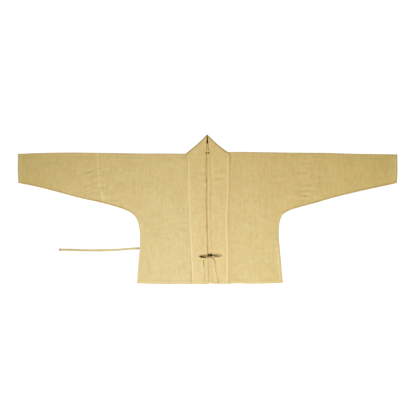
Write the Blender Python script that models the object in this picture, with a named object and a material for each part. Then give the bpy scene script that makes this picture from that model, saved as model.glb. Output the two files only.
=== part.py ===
"""Short hanfu jacket with a straight collar, laid flat with its front up and its sleeves spread.

Metres, +Z up. The origin is on the surface that the jacket lies on, under the middle of its outline: +X runs
along the sleeves to the wearer's left, +Y to the collar and +Z out of the front. Every part below is worked
out in millimetres and turned to metres where its mesh is made. "out" is a distance from the centre line
towards one side's cuff, so a point's X is minus "out" on the wearer's right and plus "out" on the left.

Cloth lies in layers: the back's underside is at zero, the front lies on it with a little air between, and
the two are one wall that turns round the shoulder fold and the underarm and side seams in half circles.
"""
import math

import bmesh
import bpy
import numpy as np

MM = 0.001

# Walls and joins
CLOTH = 1.2        # wall of one layer
BAND = 1.6         # wall of the collar band, folded double
SEAM = 0.3         # between pieces that are sewn together
FOLD_AIR = 0.8     # between front and back just inside a fold
TURN = FOLD_AIR / 2 + CLOTH       # outer radius of a shoulder or side fold
BAND_Z = 2.0       # underside of the band where it lies on the back
BAND_TURN = (BAND_Z + BAND) / 2   # outer radius of the fold at the collar's slanting edges
TURN_STEPS = 3     # sections inside each half circle

# Relief on the wall's outer points
HEM = 16.0         # depth of the turned hem
VENT = 12.0        # turning along the side edges
CUFF = 13.0        # turning at the cuffs
HEM_RISE = 0.5     # how far a turning stands proud
RIDGE = 7.5        # width of the pressed seam allowance
RIDGE_RISE = 0.45
STEP = 2.5         # width of the slope down from a turning or a ridge
SWELL = 1.4        # air under the front away from its edges
SWELL_EDGE = 45.0  # distance over which that air builds up

# Grid steps
PITCH = 24.0       # between rows and between columns of a panel
ARM_PITCH = 27.0   # between the rings of a sleeve
BAND_PITCH = 21.0  # across the collar band
BAND_WIDTH = 85.0  # usual width of that band, for its grid
NEAR_NECK = (6, 13, 21, 31)   # rows below the neck corner
NEAR_ARMPIT = (9, 19)         # rows and columns round the armpit

RIGHT, LEFT = -1, 1

# Outline of the wearer's right and left side, measured on the photo and drawn at full size.
# Shoulder fold: out, up.
SHOULDER = {
    RIGHT: [(103, 263.0), (214, 264.0), (299, 263.8), (427, 266.0), (513, 266.8), (641, 268.5), (727, 267.6),
            (812, 265.6), (900, 262.0)],
    LEFT: [(97, 270.6), (128, 271.6), (213, 270.7), (298, 269.6), (384, 268.2), (469, 267.5), (555, 266.7),
           (640, 264.3), (725, 262.0), (812, 261.2), (900, 259.6)],
}
# Underarm seam, then side seam, from cuff to hem: out, up.
UNDERARM = {
    RIGHT: [(900, 124.5), (855, 116.0), (769, 96.3), (683, 73.6), (598, 51.0), (513, 32.5), (427, 9.0),
            (385, -5.8), (357, -21.5), (341, -39.0), (330, -62.0), (323.5, -92.0), (320.5, -135.0),
            (321.5, -185.0), (325.0, -240.0), (329.0, -292.0), (333.0, -352.0)],
    LEFT: [(900, 124.5), (853, 113.6), (768, 95.4), (683, 75.8), (597, 54.5), (512, 29.8), (426, 6.5),
           (384, -8.0), (361, -22.0), (347.5, -42.0), (341, -66.0), (337.7, -98.0), (338.4, -140.0),
           (342.0, -185.0), (346.5, -240.0), (350.0, -292.0), (355.0, -350.0)],
}
# Hem: out, up.
HEM_LINE = {
    RIGHT: [(0, -354.6), (86, -353.6), (171, -352.4), (256, -351.8), (300, -350.8), (335, -350.0)],
    LEFT: [(0, -354.6), (85, -352.9), (128, -350.6), (213, -351.4), (298, -350.5), (356, -348.8)],
}
BACK_HEM_LIFT = 5.0   # the back's hem is this much shorter at the centre
BACK_LIFT_WIDTH = 60.0
# Sleeve seam: up, out.
SLEEVE_SEAM = {RIGHT: [(35, 493.0), (68, 500.0), (108, 508.5), (170, 516.5), (268, 523.0)],
               LEFT: [(30, 507.0), (120, 512.0), (268, 520.0)]}
CUFF_LINE = [(125, 897.5), (165, 899.4), (262, 899.7)]   # cuff: up, out
# Collar band from the neck corner to the hem: up, out at the seam to the front, out at the free edge.
BAND_LINE = {
    RIGHT: [(262, 103.0, 7.6), (246, 97.5, 7.7), (224, 92.6, 8.0), (186, 91.8, 9.0), (120, 91.3, 6.8),
            (44, 90.2, 8.4), (-32, 87.5, 5.8), (-89, 85.0, 4.2), (-146, 81.8, 2.2), (-208, 78.6, 0.6),
            (-265, 76.6, -2.6), (-317, 73.8, -3.4), (-360, 72.0, -3.8)],
    LEFT: [(270, 97.0, 6.8), (256, 102.2, 8.6), (240, 102.6, 10.0), (220, 100.9, 11.2), (165, 100.6, 14.2),
           (105, 99.8, 18.8), (45, 97.5, 15.6), (-32, 93.8, 15.4), (-89, 94.6, 16.4), (-146, 96.2, 18.4),
           (-208, 97.3, 19.7), (-265, 97.2, 19.9), (-317, 96.5, 20.2), (-360, 96.3, 20.5)],
}
NECK_CORNER = {RIGHT: (103.4, 263.6), LEFT: (97.4, 271.2)}   # out, up
PEAK = {RIGHT: (4.0, 354.6), LEFT: (-1.0, 354.6)}            # out of each slanting edge's upper end, up
PEAK_TOP = 355.8
BACK_NECK_UP = 272.0   # height of the back neck seam at the centre

# Creases of the front: side, out, up, direction in degrees, half length, half width, height.
CREASES = [
    (RIGHT, 470, 120, 52, 75, 17, 0.8),
    (RIGHT, 560, 150, 63, 70, 16, 0.7),
    (RIGHT, 600, 105, 40, 60, 15, 0.8),
    (RIGHT, 395, 60, 58, 80, 20, 0.9),
    (RIGHT, 250, -40, 78, 90, 24, 0.6),
    (RIGHT, 740, 185, 12, 80, 18, 0.5),
    (LEFT, 470, 165, 8, 60, 14, 0.7),
    (LEFT, 462, 120, 14, 55, 14, 0.8),
    (LEFT, 575, 120, 35, 70, 16, 0.6),
    (LEFT, 405, 55, 55, 80, 20, 0.9),
    (LEFT, 255, -60, 98, 95, 24, 0.6),
    (LEFT, 730, 180, -8, 85, 18, 0.5),
]

# Ties: tapes of the same cloth, sewn shut and turned in at their ends
TAPE = 9.5         # width
TAPE_WALL = 1.2
REST = 0.3         # between a tie and what it lies on
BAND_TOP = BAND_Z + BAND
TAIL_Z = BAND_TOP + REST + TAPE_WALL / 2
FLOOR_Z = TAPE_WALL / 2
# Routes on the middle of the tape: x, y, z.
TIE_SIDE = [(-322.1, -186.6), (-334, -187.2), (-370, -189.2), (-427, -192.6), (-484, -194.2), (-541, -195.0),
            (-598, -195.0), (-655, -193.6), (-690, -192.8), (-707, -192.2)]
TAIL_RIGHT = [(7.0, -229.0, 1.2), (-1, -233.0, 0.6), (-10, -238.0, 0.1), (-17.6, -247, 0.0),
              (-20.4, -262, 0.0), (-20.8, -285, 0.0), (-20.2, -312, 0.0), (-20.0, -337, 0.0)]
TAIL_LEFT = [(13.0, -229.6, 1.2), (21, -233.4, 0.6), (28.5, -241, 0.1), (30.5, -255, 0.0), (31.6, -275, 0.0),
             (34.4, -297, 0.0), (39.8, -320, 0.0), (50.6, -348, 0.0)]
LOOP_RIGHT = [(2.3, -216.0), (-8, -214.6), (-22, -215.8), (-34, -218.2), (-41.5, -221.8), (-42.6, -225.2),
              (-38, -227.8), (-26, -227.4), (-12, -225.0), (2.3, -221.4)]
LOOP_LEFT = [(18.1, -216.0), (30, -213.8), (46, -214.4), (60, -217.0), (70.5, -220.0), (72.0, -223.0),
             (67, -225.4), (52, -225.6), (34, -224.0), (18.1, -221.2)]
LOOP_Z = BAND_TOP + REST + TAPE / 2
# Knot, with the two tie roots that are sewn to the bands' free edges: x, y, z, depth, height.
KNOT = [(0.2, -218.4, 2.9, 9.4, 1.3), (2.7, -218.4, 2.9, 9.6, 1.5), (3.3, -218.4, 6.2, 11.2, 7.6),
        (6.2, -218.5, 6.9, 12.6, 10.0), (8.6, -218.5, 6.7, 11.6, 9.2), (10.8, -218.5, 6.6, 11.0, 8.8),
        (13.0, -218.5, 6.7, 11.8, 9.2), (15.0, -218.5, 6.9, 12.4, 9.8), (17.0, -218.4, 6.2, 11.0, 7.6),
        (17.5, -218.4, 2.9, 9.6, 1.5), (19.1, -218.4, 2.9, 9.4, 1.3)]


def smooth(table, at, value=1, key=0):
    """Reads a table's value column at the given keys from a cubic curve through its rows."""
    rows = np.array(sorted(table, key=lambda row: row[key]), dtype=float)
    x, y = rows[:, key], rows[:, value]
    slope = np.gradient(y, x)
    at = np.clip(np.asarray(at, dtype=float), x[0], x[-1])
    i = np.clip(np.searchsorted(x, at) - 1, 0, len(x) - 2)
    h = x[i + 1] - x[i]
    t = (at - x[i]) / h
    return ((2 * t**3 - 3 * t**2 + 1) * y[i] + (t**3 - 2 * t**2 + t) * h * slope[i]
            + (3 * t**2 - 2 * t**3) * y[i + 1] + (t**3 - t**2) * h * slope[i + 1])


def route(points, count):
    """Even points on a smooth curve through a route's own points."""
    points = np.array(points, dtype=float)
    along = np.r_[0, np.cumsum(np.linalg.norm(np.diff(points, axis=0), axis=1))]
    fine = np.linspace(0, along[-1], 40 * len(points))
    curve = np.stack([smooth(np.c_[along, points[:, k]], fine) for k in range(points.shape[1])], axis=1)
    length = np.r_[0, np.cumsum(np.linalg.norm(np.diff(curve, axis=0), axis=1))]
    even = np.linspace(0, length[-1], count)
    return np.stack([np.interp(even, length, curve[:, k]) for k in range(curve.shape[1])], axis=1)


def fractions(length, pitch, start=(), end=()):
    """Places from 0 to 1 along a length: given distances from each end, and even steps between them."""
    low, high = [0.0, *start], [*(length - d for d in end), length]
    count = max(2, round((high[0] - low[-1]) / pitch))
    middle = np.linspace(low[-1], high[0], count + 1)
    return np.r_[low[:-1], middle, high[1:]] / length


def near(length, places, total, kept):
    """Fits places made for one total length to lines of other lengths: those within the kept distance of the
    end keep their distance from it, and the rest spread evenly."""
    length = np.asarray(length, dtype=float)[..., None]
    distance = (1 - places) * total
    spread = places * (1 - kept / length) / (1 - kept / total)
    return np.where(distance <= kept, 1 - distance / length, spread)


def own_place(places):
    """From the places along each grid line, picks for every point the place of its own row."""
    index = np.arange(len(places))[:, None, None]
    return np.take_along_axis(places, np.broadcast_to(index, places.shape[:2] + (1,)), axis=2)[..., 0]


def ramp(distance, width):
    """1 at and below a width, falling smoothly to 0 over one step."""
    t = np.clip((np.asarray(distance) - width) / STEP, 0, 1)
    return 1 - t * t * (3 - 2 * t)


def shoulder(side, out):
    return smooth(SHOULDER[side], out)


def seam_x(side, up):
    return smooth(SLEEVE_SEAM[side], up, value=1)


def band_seam(side, up):
    return smooth(BAND_LINE[side], up, value=1)


def band_edge(side, up):
    return smooth(BAND_LINE[side], up, value=2)


def hem(side, out):
    return smooth(HEM_LINE[side], out)


def outline(side):
    """The underarm and side seam as dense points (out, up), with the outward direction at each."""
    points = route(UNDERARM[side], 500)
    along = np.gradient(points, axis=0)
    along /= np.linalg.norm(along, axis=1)[:, None]
    return points, np.c_[-along[:, 1], along[:, 0]]


def armpit(side):
    """Index of the outline's point where the underarm seam has turned half way to the side seam."""
    points, normal = outline(side)
    inside = (points[:, 0] < 420) & (normal[:, 0] >= -normal[:, 1])
    return int(np.argmax(inside))


def crease_height(side, out, up):
    """Sum of the creases: each is a soft ridge that fades along its length."""
    height = np.zeros(np.broadcast(out, up).shape)
    for row_side, x, y, degrees, half_length, half_width, rise in CREASES:
        if row_side != side:
            continue
        c, s = math.cos(math.radians(degrees)), math.sin(math.radians(degrees))
        along, across = (out - x) * c + (up - y) * s, (up - y) * c - (out - x) * s
        height += rise * np.exp(-(along / half_length) ** 2 - (across / half_width) ** 2)
    return height


def panel_edges(side):
    """Dense points round the front panel and the sleeve, without the sleeve seam."""
    points, _ = outline(side)
    across = np.linspace(100, 900, 200)
    top = np.c_[across, shoulder(side, across)]
    down = np.linspace(260, -352, 150)
    inner = np.c_[band_seam(side, down), down]
    low = np.linspace(75, 350, 90)
    return np.concatenate([points, top, inner, np.c_[low, hem(side, low)]])


def front_under(side, out, up):
    """Height of the front's underside: air under it that fades towards its edges, and its creases."""
    out, up = np.broadcast_arrays(out, up)
    flat = np.stack([out.ravel(), up.ravel()], axis=1)
    edges = panel_edges(side)
    distance = np.array([np.sqrt(((edges - p) ** 2).sum(axis=1)).min() for p in flat]).reshape(out.shape)
    inside = 1 - np.exp(-(distance / SWELL_EDGE) ** 2)
    return CLOTH + FOLD_AIR + inside * (SWELL + crease_height(side, out, up))


def front_relief(side, out, up):
    """How far the front's outer points stand proud: turnings, and the ridge at the sleeve seam."""
    points, _ = outline(side)
    low = points[points[:, 1] < -195]
    vent = np.interp(up, low[::-1, 1], low[::-1, 0]) - out
    hem_up = up - hem(side, out)
    cuff = smooth(CUFF_LINE, up) - out
    seam = seam_x(side, up) - out
    turned = np.maximum(np.maximum(ramp(hem_up, HEM), ramp(cuff, CUFF)),
                        ramp(vent, VENT) * ramp(up + 205, 0))
    ridge = ramp(seam, RIDGE) * (seam >= -0.01)
    return HEM_RISE * turned + RIDGE_RISE * ridge


def turn_points(edge, normal, top, low, radius, wall):
    """Sections of a fold from the upper layer to the lower: outer and inner half circles, flattened to the
    layers' heights. edge holds the points (out, up) where the layers end, one radius short of the fold."""
    outer, inner = [], []
    for k in range(1, TURN_STEPS + 1):
        angle = math.pi * k / (TURN_STEPS + 1)
        reach, drop = math.sin(angle), math.cos(angle)
        middle = (low + wall) / 2
        outer.append(np.c_[edge + normal * radius * reach, top / 2 * (1 + drop)])
        inner.append(np.c_[edge + normal * (radius - wall) * reach, middle + (low - wall) / 2 * drop])
    return np.array(outer), np.array(inner)


class Wall:
    """A cloth wall in the making: pairs of points, one on each face, and the quads between them."""

    def __init__(self):
        self.outer, self.inner, self.quads = [], [], []

    def add(self, outer, inner):
        """Adds pairs of points and returns their numbers in the same arrangement."""
        shape = outer.shape[:-1]
        first = sum(len(block) for block in self.outer)
        self.outer.append(outer.reshape(-1, 3))
        self.inner.append(inner.reshape(-1, 3))
        return np.arange(first, first + math.prod(shape)).reshape(shape)

    def join(self, numbers):
        """Quads between the neighbouring rows and columns of numbered points."""
        a, b, c, d = numbers[:-1, :-1], numbers[1:, :-1], numbers[1:, 1:], numbers[:-1, 1:]
        self.quads += np.stack([a, b, c, d], axis=-1).reshape(-1, 4).tolist()

    def make(self, name, side, colour):
        """The closed solid: both faces, and a rim wherever a quad's edge has no neighbour."""
        outer, inner = np.concatenate(self.outer), np.concatenate(self.inner)
        count = len(outer)
        used = {}
        for quad in self.quads:
            for a, b in zip(quad, quad[1:] + quad[:1]):
                used.setdefault((min(a, b), max(a, b)), []).append((a, b))
        faces = [list(quad) for quad in self.quads] + [[i + count for i in reversed(q)] for q in self.quads]
        faces += [[b, a, a + count, b + count] for ((a, b), *more) in used.values() if not more]
        points = np.concatenate([outer, inner])
        points[:, 0] *= side
        return solid(name, points * MM, faces, colour)


def linear(hex_colour):
    """sRGB hex to linear red, green, blue and an alpha of 1."""
    values = [int(hex_colour[i:i + 2], 16) / 255 for i in (0, 2, 4)]
    return [v / 12.92 if v <= 0.04045 else ((v + 0.055) / 1.055) ** 2.4 for v in values] + [1.0]


def cloth_material(name, hex_colour):
    material = bpy.data.materials.new(name)
    material.use_nodes = True
    shader = material.node_tree.nodes["Principled BSDF"]
    shader.inputs["Base Color"].default_value = linear(hex_colour)
    shader.inputs["Roughness"].default_value = 0.9
    shader.inputs["Metallic"].default_value = 0.0
    return material


def solid(name, points, faces, colour):
    """A named object from points in metres and faces, with its faces turned outwards."""
    mesh = bpy.data.meshes.new(name)
    mesh.from_pydata([tuple(p) for p in points.tolist()], [], faces)
    work = bmesh.new()
    work.from_mesh(mesh)
    bmesh.ops.recalc_face_normals(work, faces=work.faces)
    work.to_mesh(mesh)
    work.free()
    mesh.shade_smooth()
    mesh.set_sharp_from_angle(angle=math.radians(40))
    mesh.materials.append(colour)
    item = bpy.data.objects.new(name, mesh)
    bpy.context.collection.objects.link(item)
    return item


def inset_outline(side):
    """The outline moved in by a fold's radius: points, outward directions, armpit index."""
    points, normal = outline(side)
    return points - normal * TURN, normal, armpit(side)


def seam_heights(side):
    """Heights of the rows at the band's seam, from the shoulder to the armpit row and on to the hem."""
    points, _, corner = inset_outline(side)
    top = float(shoulder(side, BAND_LINE[side][0][1])) - TURN
    upper = fractions(top - points[corner, 1], PITCH, start=NEAR_NECK)
    bottom = float(hem(side, band_seam(side, -354)))
    lower = fractions(points[corner, 1] - bottom, PITCH, start=NEAR_ARMPIT, end=(HEM + STEP, HEM))
    return (top - upper * (top - points[corner, 1]), points[corner, 1] - lower * (points[corner, 1] - bottom),
            upper, lower)


def underarm_row(side, out):
    """The inset underarm seam's height and outward direction at given places, out of the armpit."""
    points, normal, corner = inset_outline(side)
    x = points[:corner + 1, 0][::-1]
    up = np.interp(out, x, points[:corner + 1, 1][::-1])
    direction = np.stack([np.interp(out, x, normal[:corner + 1, k][::-1]) for k in (0, 1)], axis=-1)
    return up, direction / np.linalg.norm(direction, axis=-1)[..., None]


def side_column(side, up):
    """The inset side seam's place and outward direction at given heights, below the armpit."""
    points, normal, corner = inset_outline(side)
    y = points[corner:, 1][::-1]
    out = np.interp(up, y, points[corner:, 0][::-1])
    direction = np.stack([np.interp(up, y, normal[corner:, k][::-1]) for k in (0, 1)], axis=-1)
    return out, direction / np.linalg.norm(direction, axis=-1)[..., None]


def arm_columns(side):
    """Length from the armpit to the sleeve seam, and places along it with two for the seam's ridge."""
    points, _, corner = inset_outline(side)
    length = float(seam_x(side, 150)) - points[corner, 0]
    return length, fractions(length, PITCH, start=NEAR_ARMPIT, end=(RIDGE + STEP, RIDGE))


def front_grid(side):
    """Points (out, up) of the front panel: the rows above the armpit, then those below it."""
    points, _, corner = inset_outline(side)
    corner_x, corner_y = points[corner]
    _, _, upper, lower = seam_heights(side)
    inner_width = corner_x - float(band_seam(side, 100))
    body = fractions(inner_width, PITCH)
    length, arm = arm_columns(side)

    y = np.broadcast_to(corner_y + (1 - upper[:, None]) * 290, (len(upper), len(body) + len(arm) - 1)).copy()
    for _ in range(8):
        inner = band_seam(side, y[:, :1]) + SEAM / 2
        body_x = inner + (corner_x - inner) * body
        reach = seam_x(side, y[:, -1]) - SEAM / 2 - corner_x
        arm_x = corner_x + reach[:, None] * near(reach, arm, length, RIDGE + STEP)
        x = np.concatenate([body_x, arm_x[:, 1:]], axis=1)
        top = shoulder(side, x) - TURN
        bottom = np.where(x > corner_x, underarm_row(side, x)[0], corner_y)
        y = top + (bottom - top) * upper[:, None]
    block_top = np.stack([x, y], axis=-1)

    low_y = np.broadcast_to(corner_y + (-352 - corner_y) * lower[:, None], (len(lower), len(body))).copy()
    for _ in range(6):
        inner = band_seam(side, low_y[:, :1]) + SEAM / 2
        outer = side_column(side, low_y[:, -1])[0][:, None]
        low_x = inner + (outer - inner) * body
        drop = corner_y - hem(side, low_x)
        low_y = corner_y - drop * own_place(near(drop, lower, corner_y - hem(side, 80), HEM + STEP))
    return block_top, np.stack([low_x, low_y], axis=-1), len(body)


def back_hem(side, out):
    """The back's hem, a little shorter behind the opening."""
    return hem(side, out) + BACK_HEM_LIFT * np.exp(-(np.asarray(out) / BACK_LIFT_WIDTH) ** 2)


def back_grid(side, block_top, block_low, body_count):
    """Points of the back: the front's places from the neck corner outwards, and columns behind the collar."""
    _, low_side = block_low[:, 0, 0], block_low[:, -1, 0]
    corner_x, corner_y = block_top[-1, body_count - 1]
    first = block_top[0, 0, 0]
    neck = np.linspace(SEAM / 2, first, 6)[:-1]
    upper = (block_top[0, :1, 1] - block_top[:, 0, 1]) / (block_top[0, 0, 1] - block_top[-1, 0, 1])
    shared = block_top[0, :body_count, 0]
    x = np.r_[neck, shared]
    neck_up = np.interp(neck, [0, first], [BACK_NECK_UP, block_top[0, 0, 1]])
    top = np.r_[neck_up, block_top[0, :body_count, 1]]
    torso_y = top + (corner_y - top) * upper[:, None]
    torso = np.stack([np.broadcast_to(x, torso_y.shape), torso_y], axis=-1)
    torso[:, -1] = block_top[:, body_count - 1]
    part = (x - x[0]) / (x[-1] - x[0])
    low_x = x[0] + (low_side[:, None] - x[0]) * part
    drop = corner_y - block_low[:, -1, 1]
    places = drop / drop[-1]
    low_y = corner_y + (back_hem(side, low_x) - corner_y) * places[:, None]
    low_y[:, -1] = block_low[:, -1, 1]
    return torso, np.stack([low_x, low_y], axis=-1), len(neck)


def upper_layer(side, grid):
    """Outer and inner points of the front from its places."""
    out, up = grid[..., 0], grid[..., 1]
    under = front_under(side, out, up)
    top = under + CLOTH + front_relief(side, out, up)
    return np.concatenate([grid, top[..., None]], axis=-1), np.concatenate([grid, under[..., None]], axis=-1)


def lower_layer(grid, wall=CLOTH):
    """Outer (under) and inner points of a layer that lies flat on the surface."""
    zero = np.zeros(grid.shape[:-1] + (1,))
    return np.concatenate([grid, zero], axis=-1), np.concatenate([grid, zero + wall], axis=-1)


def fold(wall, upper_numbers, lower_numbers, upper, under, normal, radius=TURN, thickness=CLOTH):
    """Joins the ends of two layers by a half-round fold and returns the numbers across it."""
    outer, inner = turn_points(upper[:, :2], normal, upper[:, 2:], under[:, 2:], radius, thickness)
    between = wall.add(outer, inner)
    wall.join(np.vstack([upper_numbers[None], between, lower_numbers[None]]))


def body_half(name, side, colour):
    """One loom width of cloth over the shoulder: half the front, half the back and the upper sleeve."""
    wall = Wall()
    top, low, body_count = front_grid(side)
    front_top = upper_layer(side, top)
    front_low = upper_layer(side, low)
    back_top, back_low, neck_count = back_grid(side, top, low, body_count)

    top_ids = wall.add(*front_top)
    low_ids = np.vstack([top_ids[-1:, :body_count], wall.add(front_low[0][1:], front_low[1][1:])])
    wall.join(top_ids)
    wall.join(low_ids)

    arm_back = np.concatenate([back_top, top[:, body_count:]], axis=1)
    back_ids = wall.add(*lower_layer(arm_back))
    torso_count = neck_count + body_count
    back_low_ids = np.vstack([back_ids[-1:, :torso_count], wall.add(*lower_layer(back_low[1:]))])
    wall.join(back_ids)
    wall.join(back_low_ids)

    upward = np.tile([0.0, 1.0], (top.shape[1], 1))
    fold(wall, top_ids[0], back_ids[0, neck_count:], front_top[0][0], front_top[1][0], upward)
    seam_ids = np.r_[top_ids[-1, body_count - 1:][::-1], low_ids[1:, -1]]
    seam_back = np.r_[back_ids[-1, torso_count - 1:][::-1], back_low_ids[1:, -1]]
    seam_outer = np.concatenate([front_top[0][-1, body_count - 1:][::-1], front_low[0][1:, -1]])
    seam_inner = np.concatenate([front_top[1][-1, body_count - 1:][::-1], front_low[1][1:, -1]])
    arm_normal = underarm_row(side, top[-1, body_count - 1:, 0])[1][::-1]
    side_normal = side_column(side, low[1:, -1, 1])[1]
    fold(wall, seam_ids, seam_back, seam_outer, seam_inner, np.concatenate([arm_normal, side_normal]))
    return wall.make(name, side, colour)


def sleeve(name, side, colour):
    """The sleeve's outer length: rings from the sleeve seam to the cuff, each flattened front on back."""
    _, _, upper, _ = seam_heights(side)
    length = 899.5 - float(seam_x(side, 150))
    places = fractions(length, ARM_PITCH, end=(CUFF + STEP, CUFF))
    y = np.broadcast_to(260 - 150 * upper, (len(places), len(upper))).copy()
    for _ in range(8):
        start = seam_x(side, y) + SEAM / 2
        cuff = smooth(CUFF_LINE, y)
        reach = cuff - start
        x = start + reach * own_place(near(reach, places, length, CUFF + STEP))
        top = shoulder(side, x) - TURN
        y = top + (underarm_row(side, x)[0] - top) * upper
    grid = np.stack([x, y], axis=-1)
    wall = Wall()
    outer, inner = upper_layer(side, grid)
    front_ids, back_ids = wall.add(outer, inner), wall.add(*lower_layer(grid))
    wall.join(front_ids)
    wall.join(back_ids)
    upward = np.tile([0.0, 1.0], (len(places), 1))
    fold(wall, front_ids[:, 0], back_ids[:, 0], outer[:, 0], inner[:, 0], upward)
    downward = underarm_row(side, grid[:, -1, 0])[1]
    fold(wall, front_ids[:, -1], back_ids[:, -1], outer[:, -1], inner[:, -1], downward)
    return wall.make(name, side, colour)


def collar_front(side):
    """The band on one front, from the hem up to its slanting edge: points (stations, across, 2), the
    direction out of that edge, and each point's distance from the seam."""
    heights = np.r_[seam_heights(side)[0], seam_heights(side)[1][1:]][::-1]
    corner, peak = np.array(NECK_CORNER[side]), np.array(PEAK[side])
    slant = peak - corner
    slant /= np.linalg.norm(slant)
    normal = np.array([slant[1], -slant[0]])
    if normal[1] < 0:
        normal = -normal
    seam_end = np.c_[band_seam(side, heights) - SEAM / 2, heights]
    free_up = heights.copy()
    free_end = np.c_[band_edge(side, free_up), free_up]
    fan = 6
    rise = np.linspace(0, 1, fan + 2)[1:]
    last_seam, last_free = corner - normal * BAND_TURN, peak - normal * BAND_TURN
    fan_seam = seam_end[-1] + (last_seam - seam_end[-1]) * rise[:, None]
    fan_free_up = free_end[-1, 1] + (last_free[1] - free_end[-1, 1]) * rise
    edge_out = np.interp(fan_free_up, [free_end[-1, 1], last_free[1]], [free_end[-1, 0], last_free[0]])
    fan_free = np.c_[edge_out, fan_free_up]
    ends = np.concatenate([seam_end, fan_seam]), np.concatenate([free_end, fan_free])
    width = np.linalg.norm(ends[1] - ends[0], axis=1)
    across = fractions(BAND_WIDTH, BAND_PITCH, end=(RIDGE + STEP, RIDGE))
    places = 1 - near(width, across, BAND_WIDTH, RIDGE + STEP)[:, ::-1]
    line = ends[0][:, None] + (ends[1] - ends[0])[:, None] * places[..., None]
    return line, normal, places * width[:, None]


def collar(name, colour):
    """One strip: up a front, over the slanting edge, along the back neck, and down the other front."""
    wall = Wall()
    backs = {}
    for side in (RIGHT, LEFT):
        line, normal, distance = collar_front(side)
        ridge = RIDGE_RISE * ramp(distance, RIDGE)
        signed = line * [side, 1]
        top = np.concatenate([signed, (BAND_Z + BAND + ridge)[..., None]], axis=-1)
        under = np.concatenate([signed, np.full(line.shape[:-1] + (1,), BAND_Z)], axis=-1)
        front_ids = wall.add(top, under)
        wall.join(front_ids)
        outward = np.tile(normal * [side, 1], (line.shape[1], 1))
        middle = np.array([[-2.5, BACK_NECK_UP + SEAM], [-2.5, PEAK_TOP - BAND_TURN]])
        first = signed[-1]
        last = middle[0] + (middle[1] - middle[0]) * ((first - first[0])[:, 1:] / (first[-1] - first[0])[1])
        steps = np.linspace(0, 1, 6)[1:, None, None]
        fan = first + (last - first) * steps
        backs[side] = wall.add(*lower_layer(np.concatenate([first[None], fan]), wall=BAND))
        fold(wall, front_ids[-1], backs[side][0], top[-1], under[-1], outward, BAND_TURN, BAND)
        wall.join(backs[side] if side == RIGHT else np.vstack([backs[LEFT][:-1], backs[RIGHT][-1:]]))
    return wall.make(name, 1, colour)


def tape(name, points, count, flat, colour):
    """A flat tie along a smooth route: a curve with the tape's width and rounded long edges."""
    curve = bpy.data.curves.new(name, "CURVE")
    curve.dimensions = "3D"
    curve.twist_mode = "Z_UP"
    curve.bevel_depth = TAPE_WALL / 2 * MM
    curve.bevel_resolution = 1
    curve.extrude = (TAPE - TAPE_WALL) / 2 * MM
    curve.use_fill_caps = True
    spline = curve.splines.new("POLY")
    places = route(points, count) * MM
    spline.points.add(len(places) - 1)
    for point, place in zip(spline.points, places):
        point.co = (*place, 1.0)
        point.tilt = math.pi / 2 if flat else 0.0
    curve.materials.append(colour)
    item = bpy.data.objects.new(name, curve)
    bpy.context.collection.objects.link(item)
    return item


def knot(name, colour):
    """Rounded rings along the knot and its two tie roots, closed at both ends."""
    turn = np.linspace(0, 2 * math.pi, 12, endpoint=False)
    c, s = np.cos(turn), np.sin(turn)
    squared = [np.sign(v) * np.abs(v) ** 0.7 for v in (c, s)]
    rings = []
    for x, y, z, depth, height in KNOT:
        ring = [np.full(12, x), y + depth / 2 * squared[0], z + height / 2 * squared[1]]
        rings.append(np.stack(ring, axis=1))
    faces = []
    for i in range(len(rings) - 1):
        for k in range(12):
            a, b = i * 12 + k, i * 12 + (k + 1) % 12
            faces.append([a, b, b + 12, a + 12])
    last = (len(rings) - 1) * 12
    faces += [list(range(12))[::-1], list(range(last, last + 12))]
    return solid(name, np.concatenate(rings) * MM, faces, colour)


def raised(points, base):
    """Route points with their height above a base."""
    return [(x, y, base + rise) for x, y, rise in points]


def build():
    for item in list(bpy.data.objects):
        bpy.data.objects.remove(item, do_unlink=True)
    cloth = cloth_material("ramie_cloth", "dcc68a")
    band_cloth = cloth_material("ramie_band", "e0ca8f")
    tie_cloth = cloth_material("ramie_tie", "e3d2a6")
    for side, wearer in ((RIGHT, "right"), (LEFT, "left")):
        body_half(f"body_{wearer}", side, cloth)
        sleeve(f"sleeve_{wearer}", side, cloth)
    collar("collar", band_cloth)
    knot("tie_knot", tie_cloth)
    tape("tie_loop_right", [(x, y, LOOP_Z) for x, y in LOOP_RIGHT], 32, False, tie_cloth)
    tape("tie_loop_left", [(x, y, LOOP_Z) for x, y in LOOP_LEFT], 36, False, tie_cloth)
    tape("tie_tail_right", raised(TAIL_RIGHT, TAIL_Z), 20, True, tie_cloth)
    tape("tie_tail_left", raised(TAIL_LEFT, TAIL_Z), 22, True, tie_cloth)
    tape("tie_side", [(x, y, FLOOR_Z) for x, y in TIE_SIDE], 30, True, tie_cloth)


build()
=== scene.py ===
"""Short hanfu jacket in straw-gold ramie, laid flat with its front up and its front ties in a bow.

Sizes are in millimetres and turned to metres where a mesh is made. "out" is a distance from the centre line
towards one side's cuff, so a point's X is minus "out" on the wearer's right and plus "out" on the left, and
"up" is its Y. Each cloth piece is a thin closed shell on the form of its solid: the back lies on the floor,
the front lies on the back, and both turn into each other round the shoulder, underarm and side folds.
"""
import math

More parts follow.
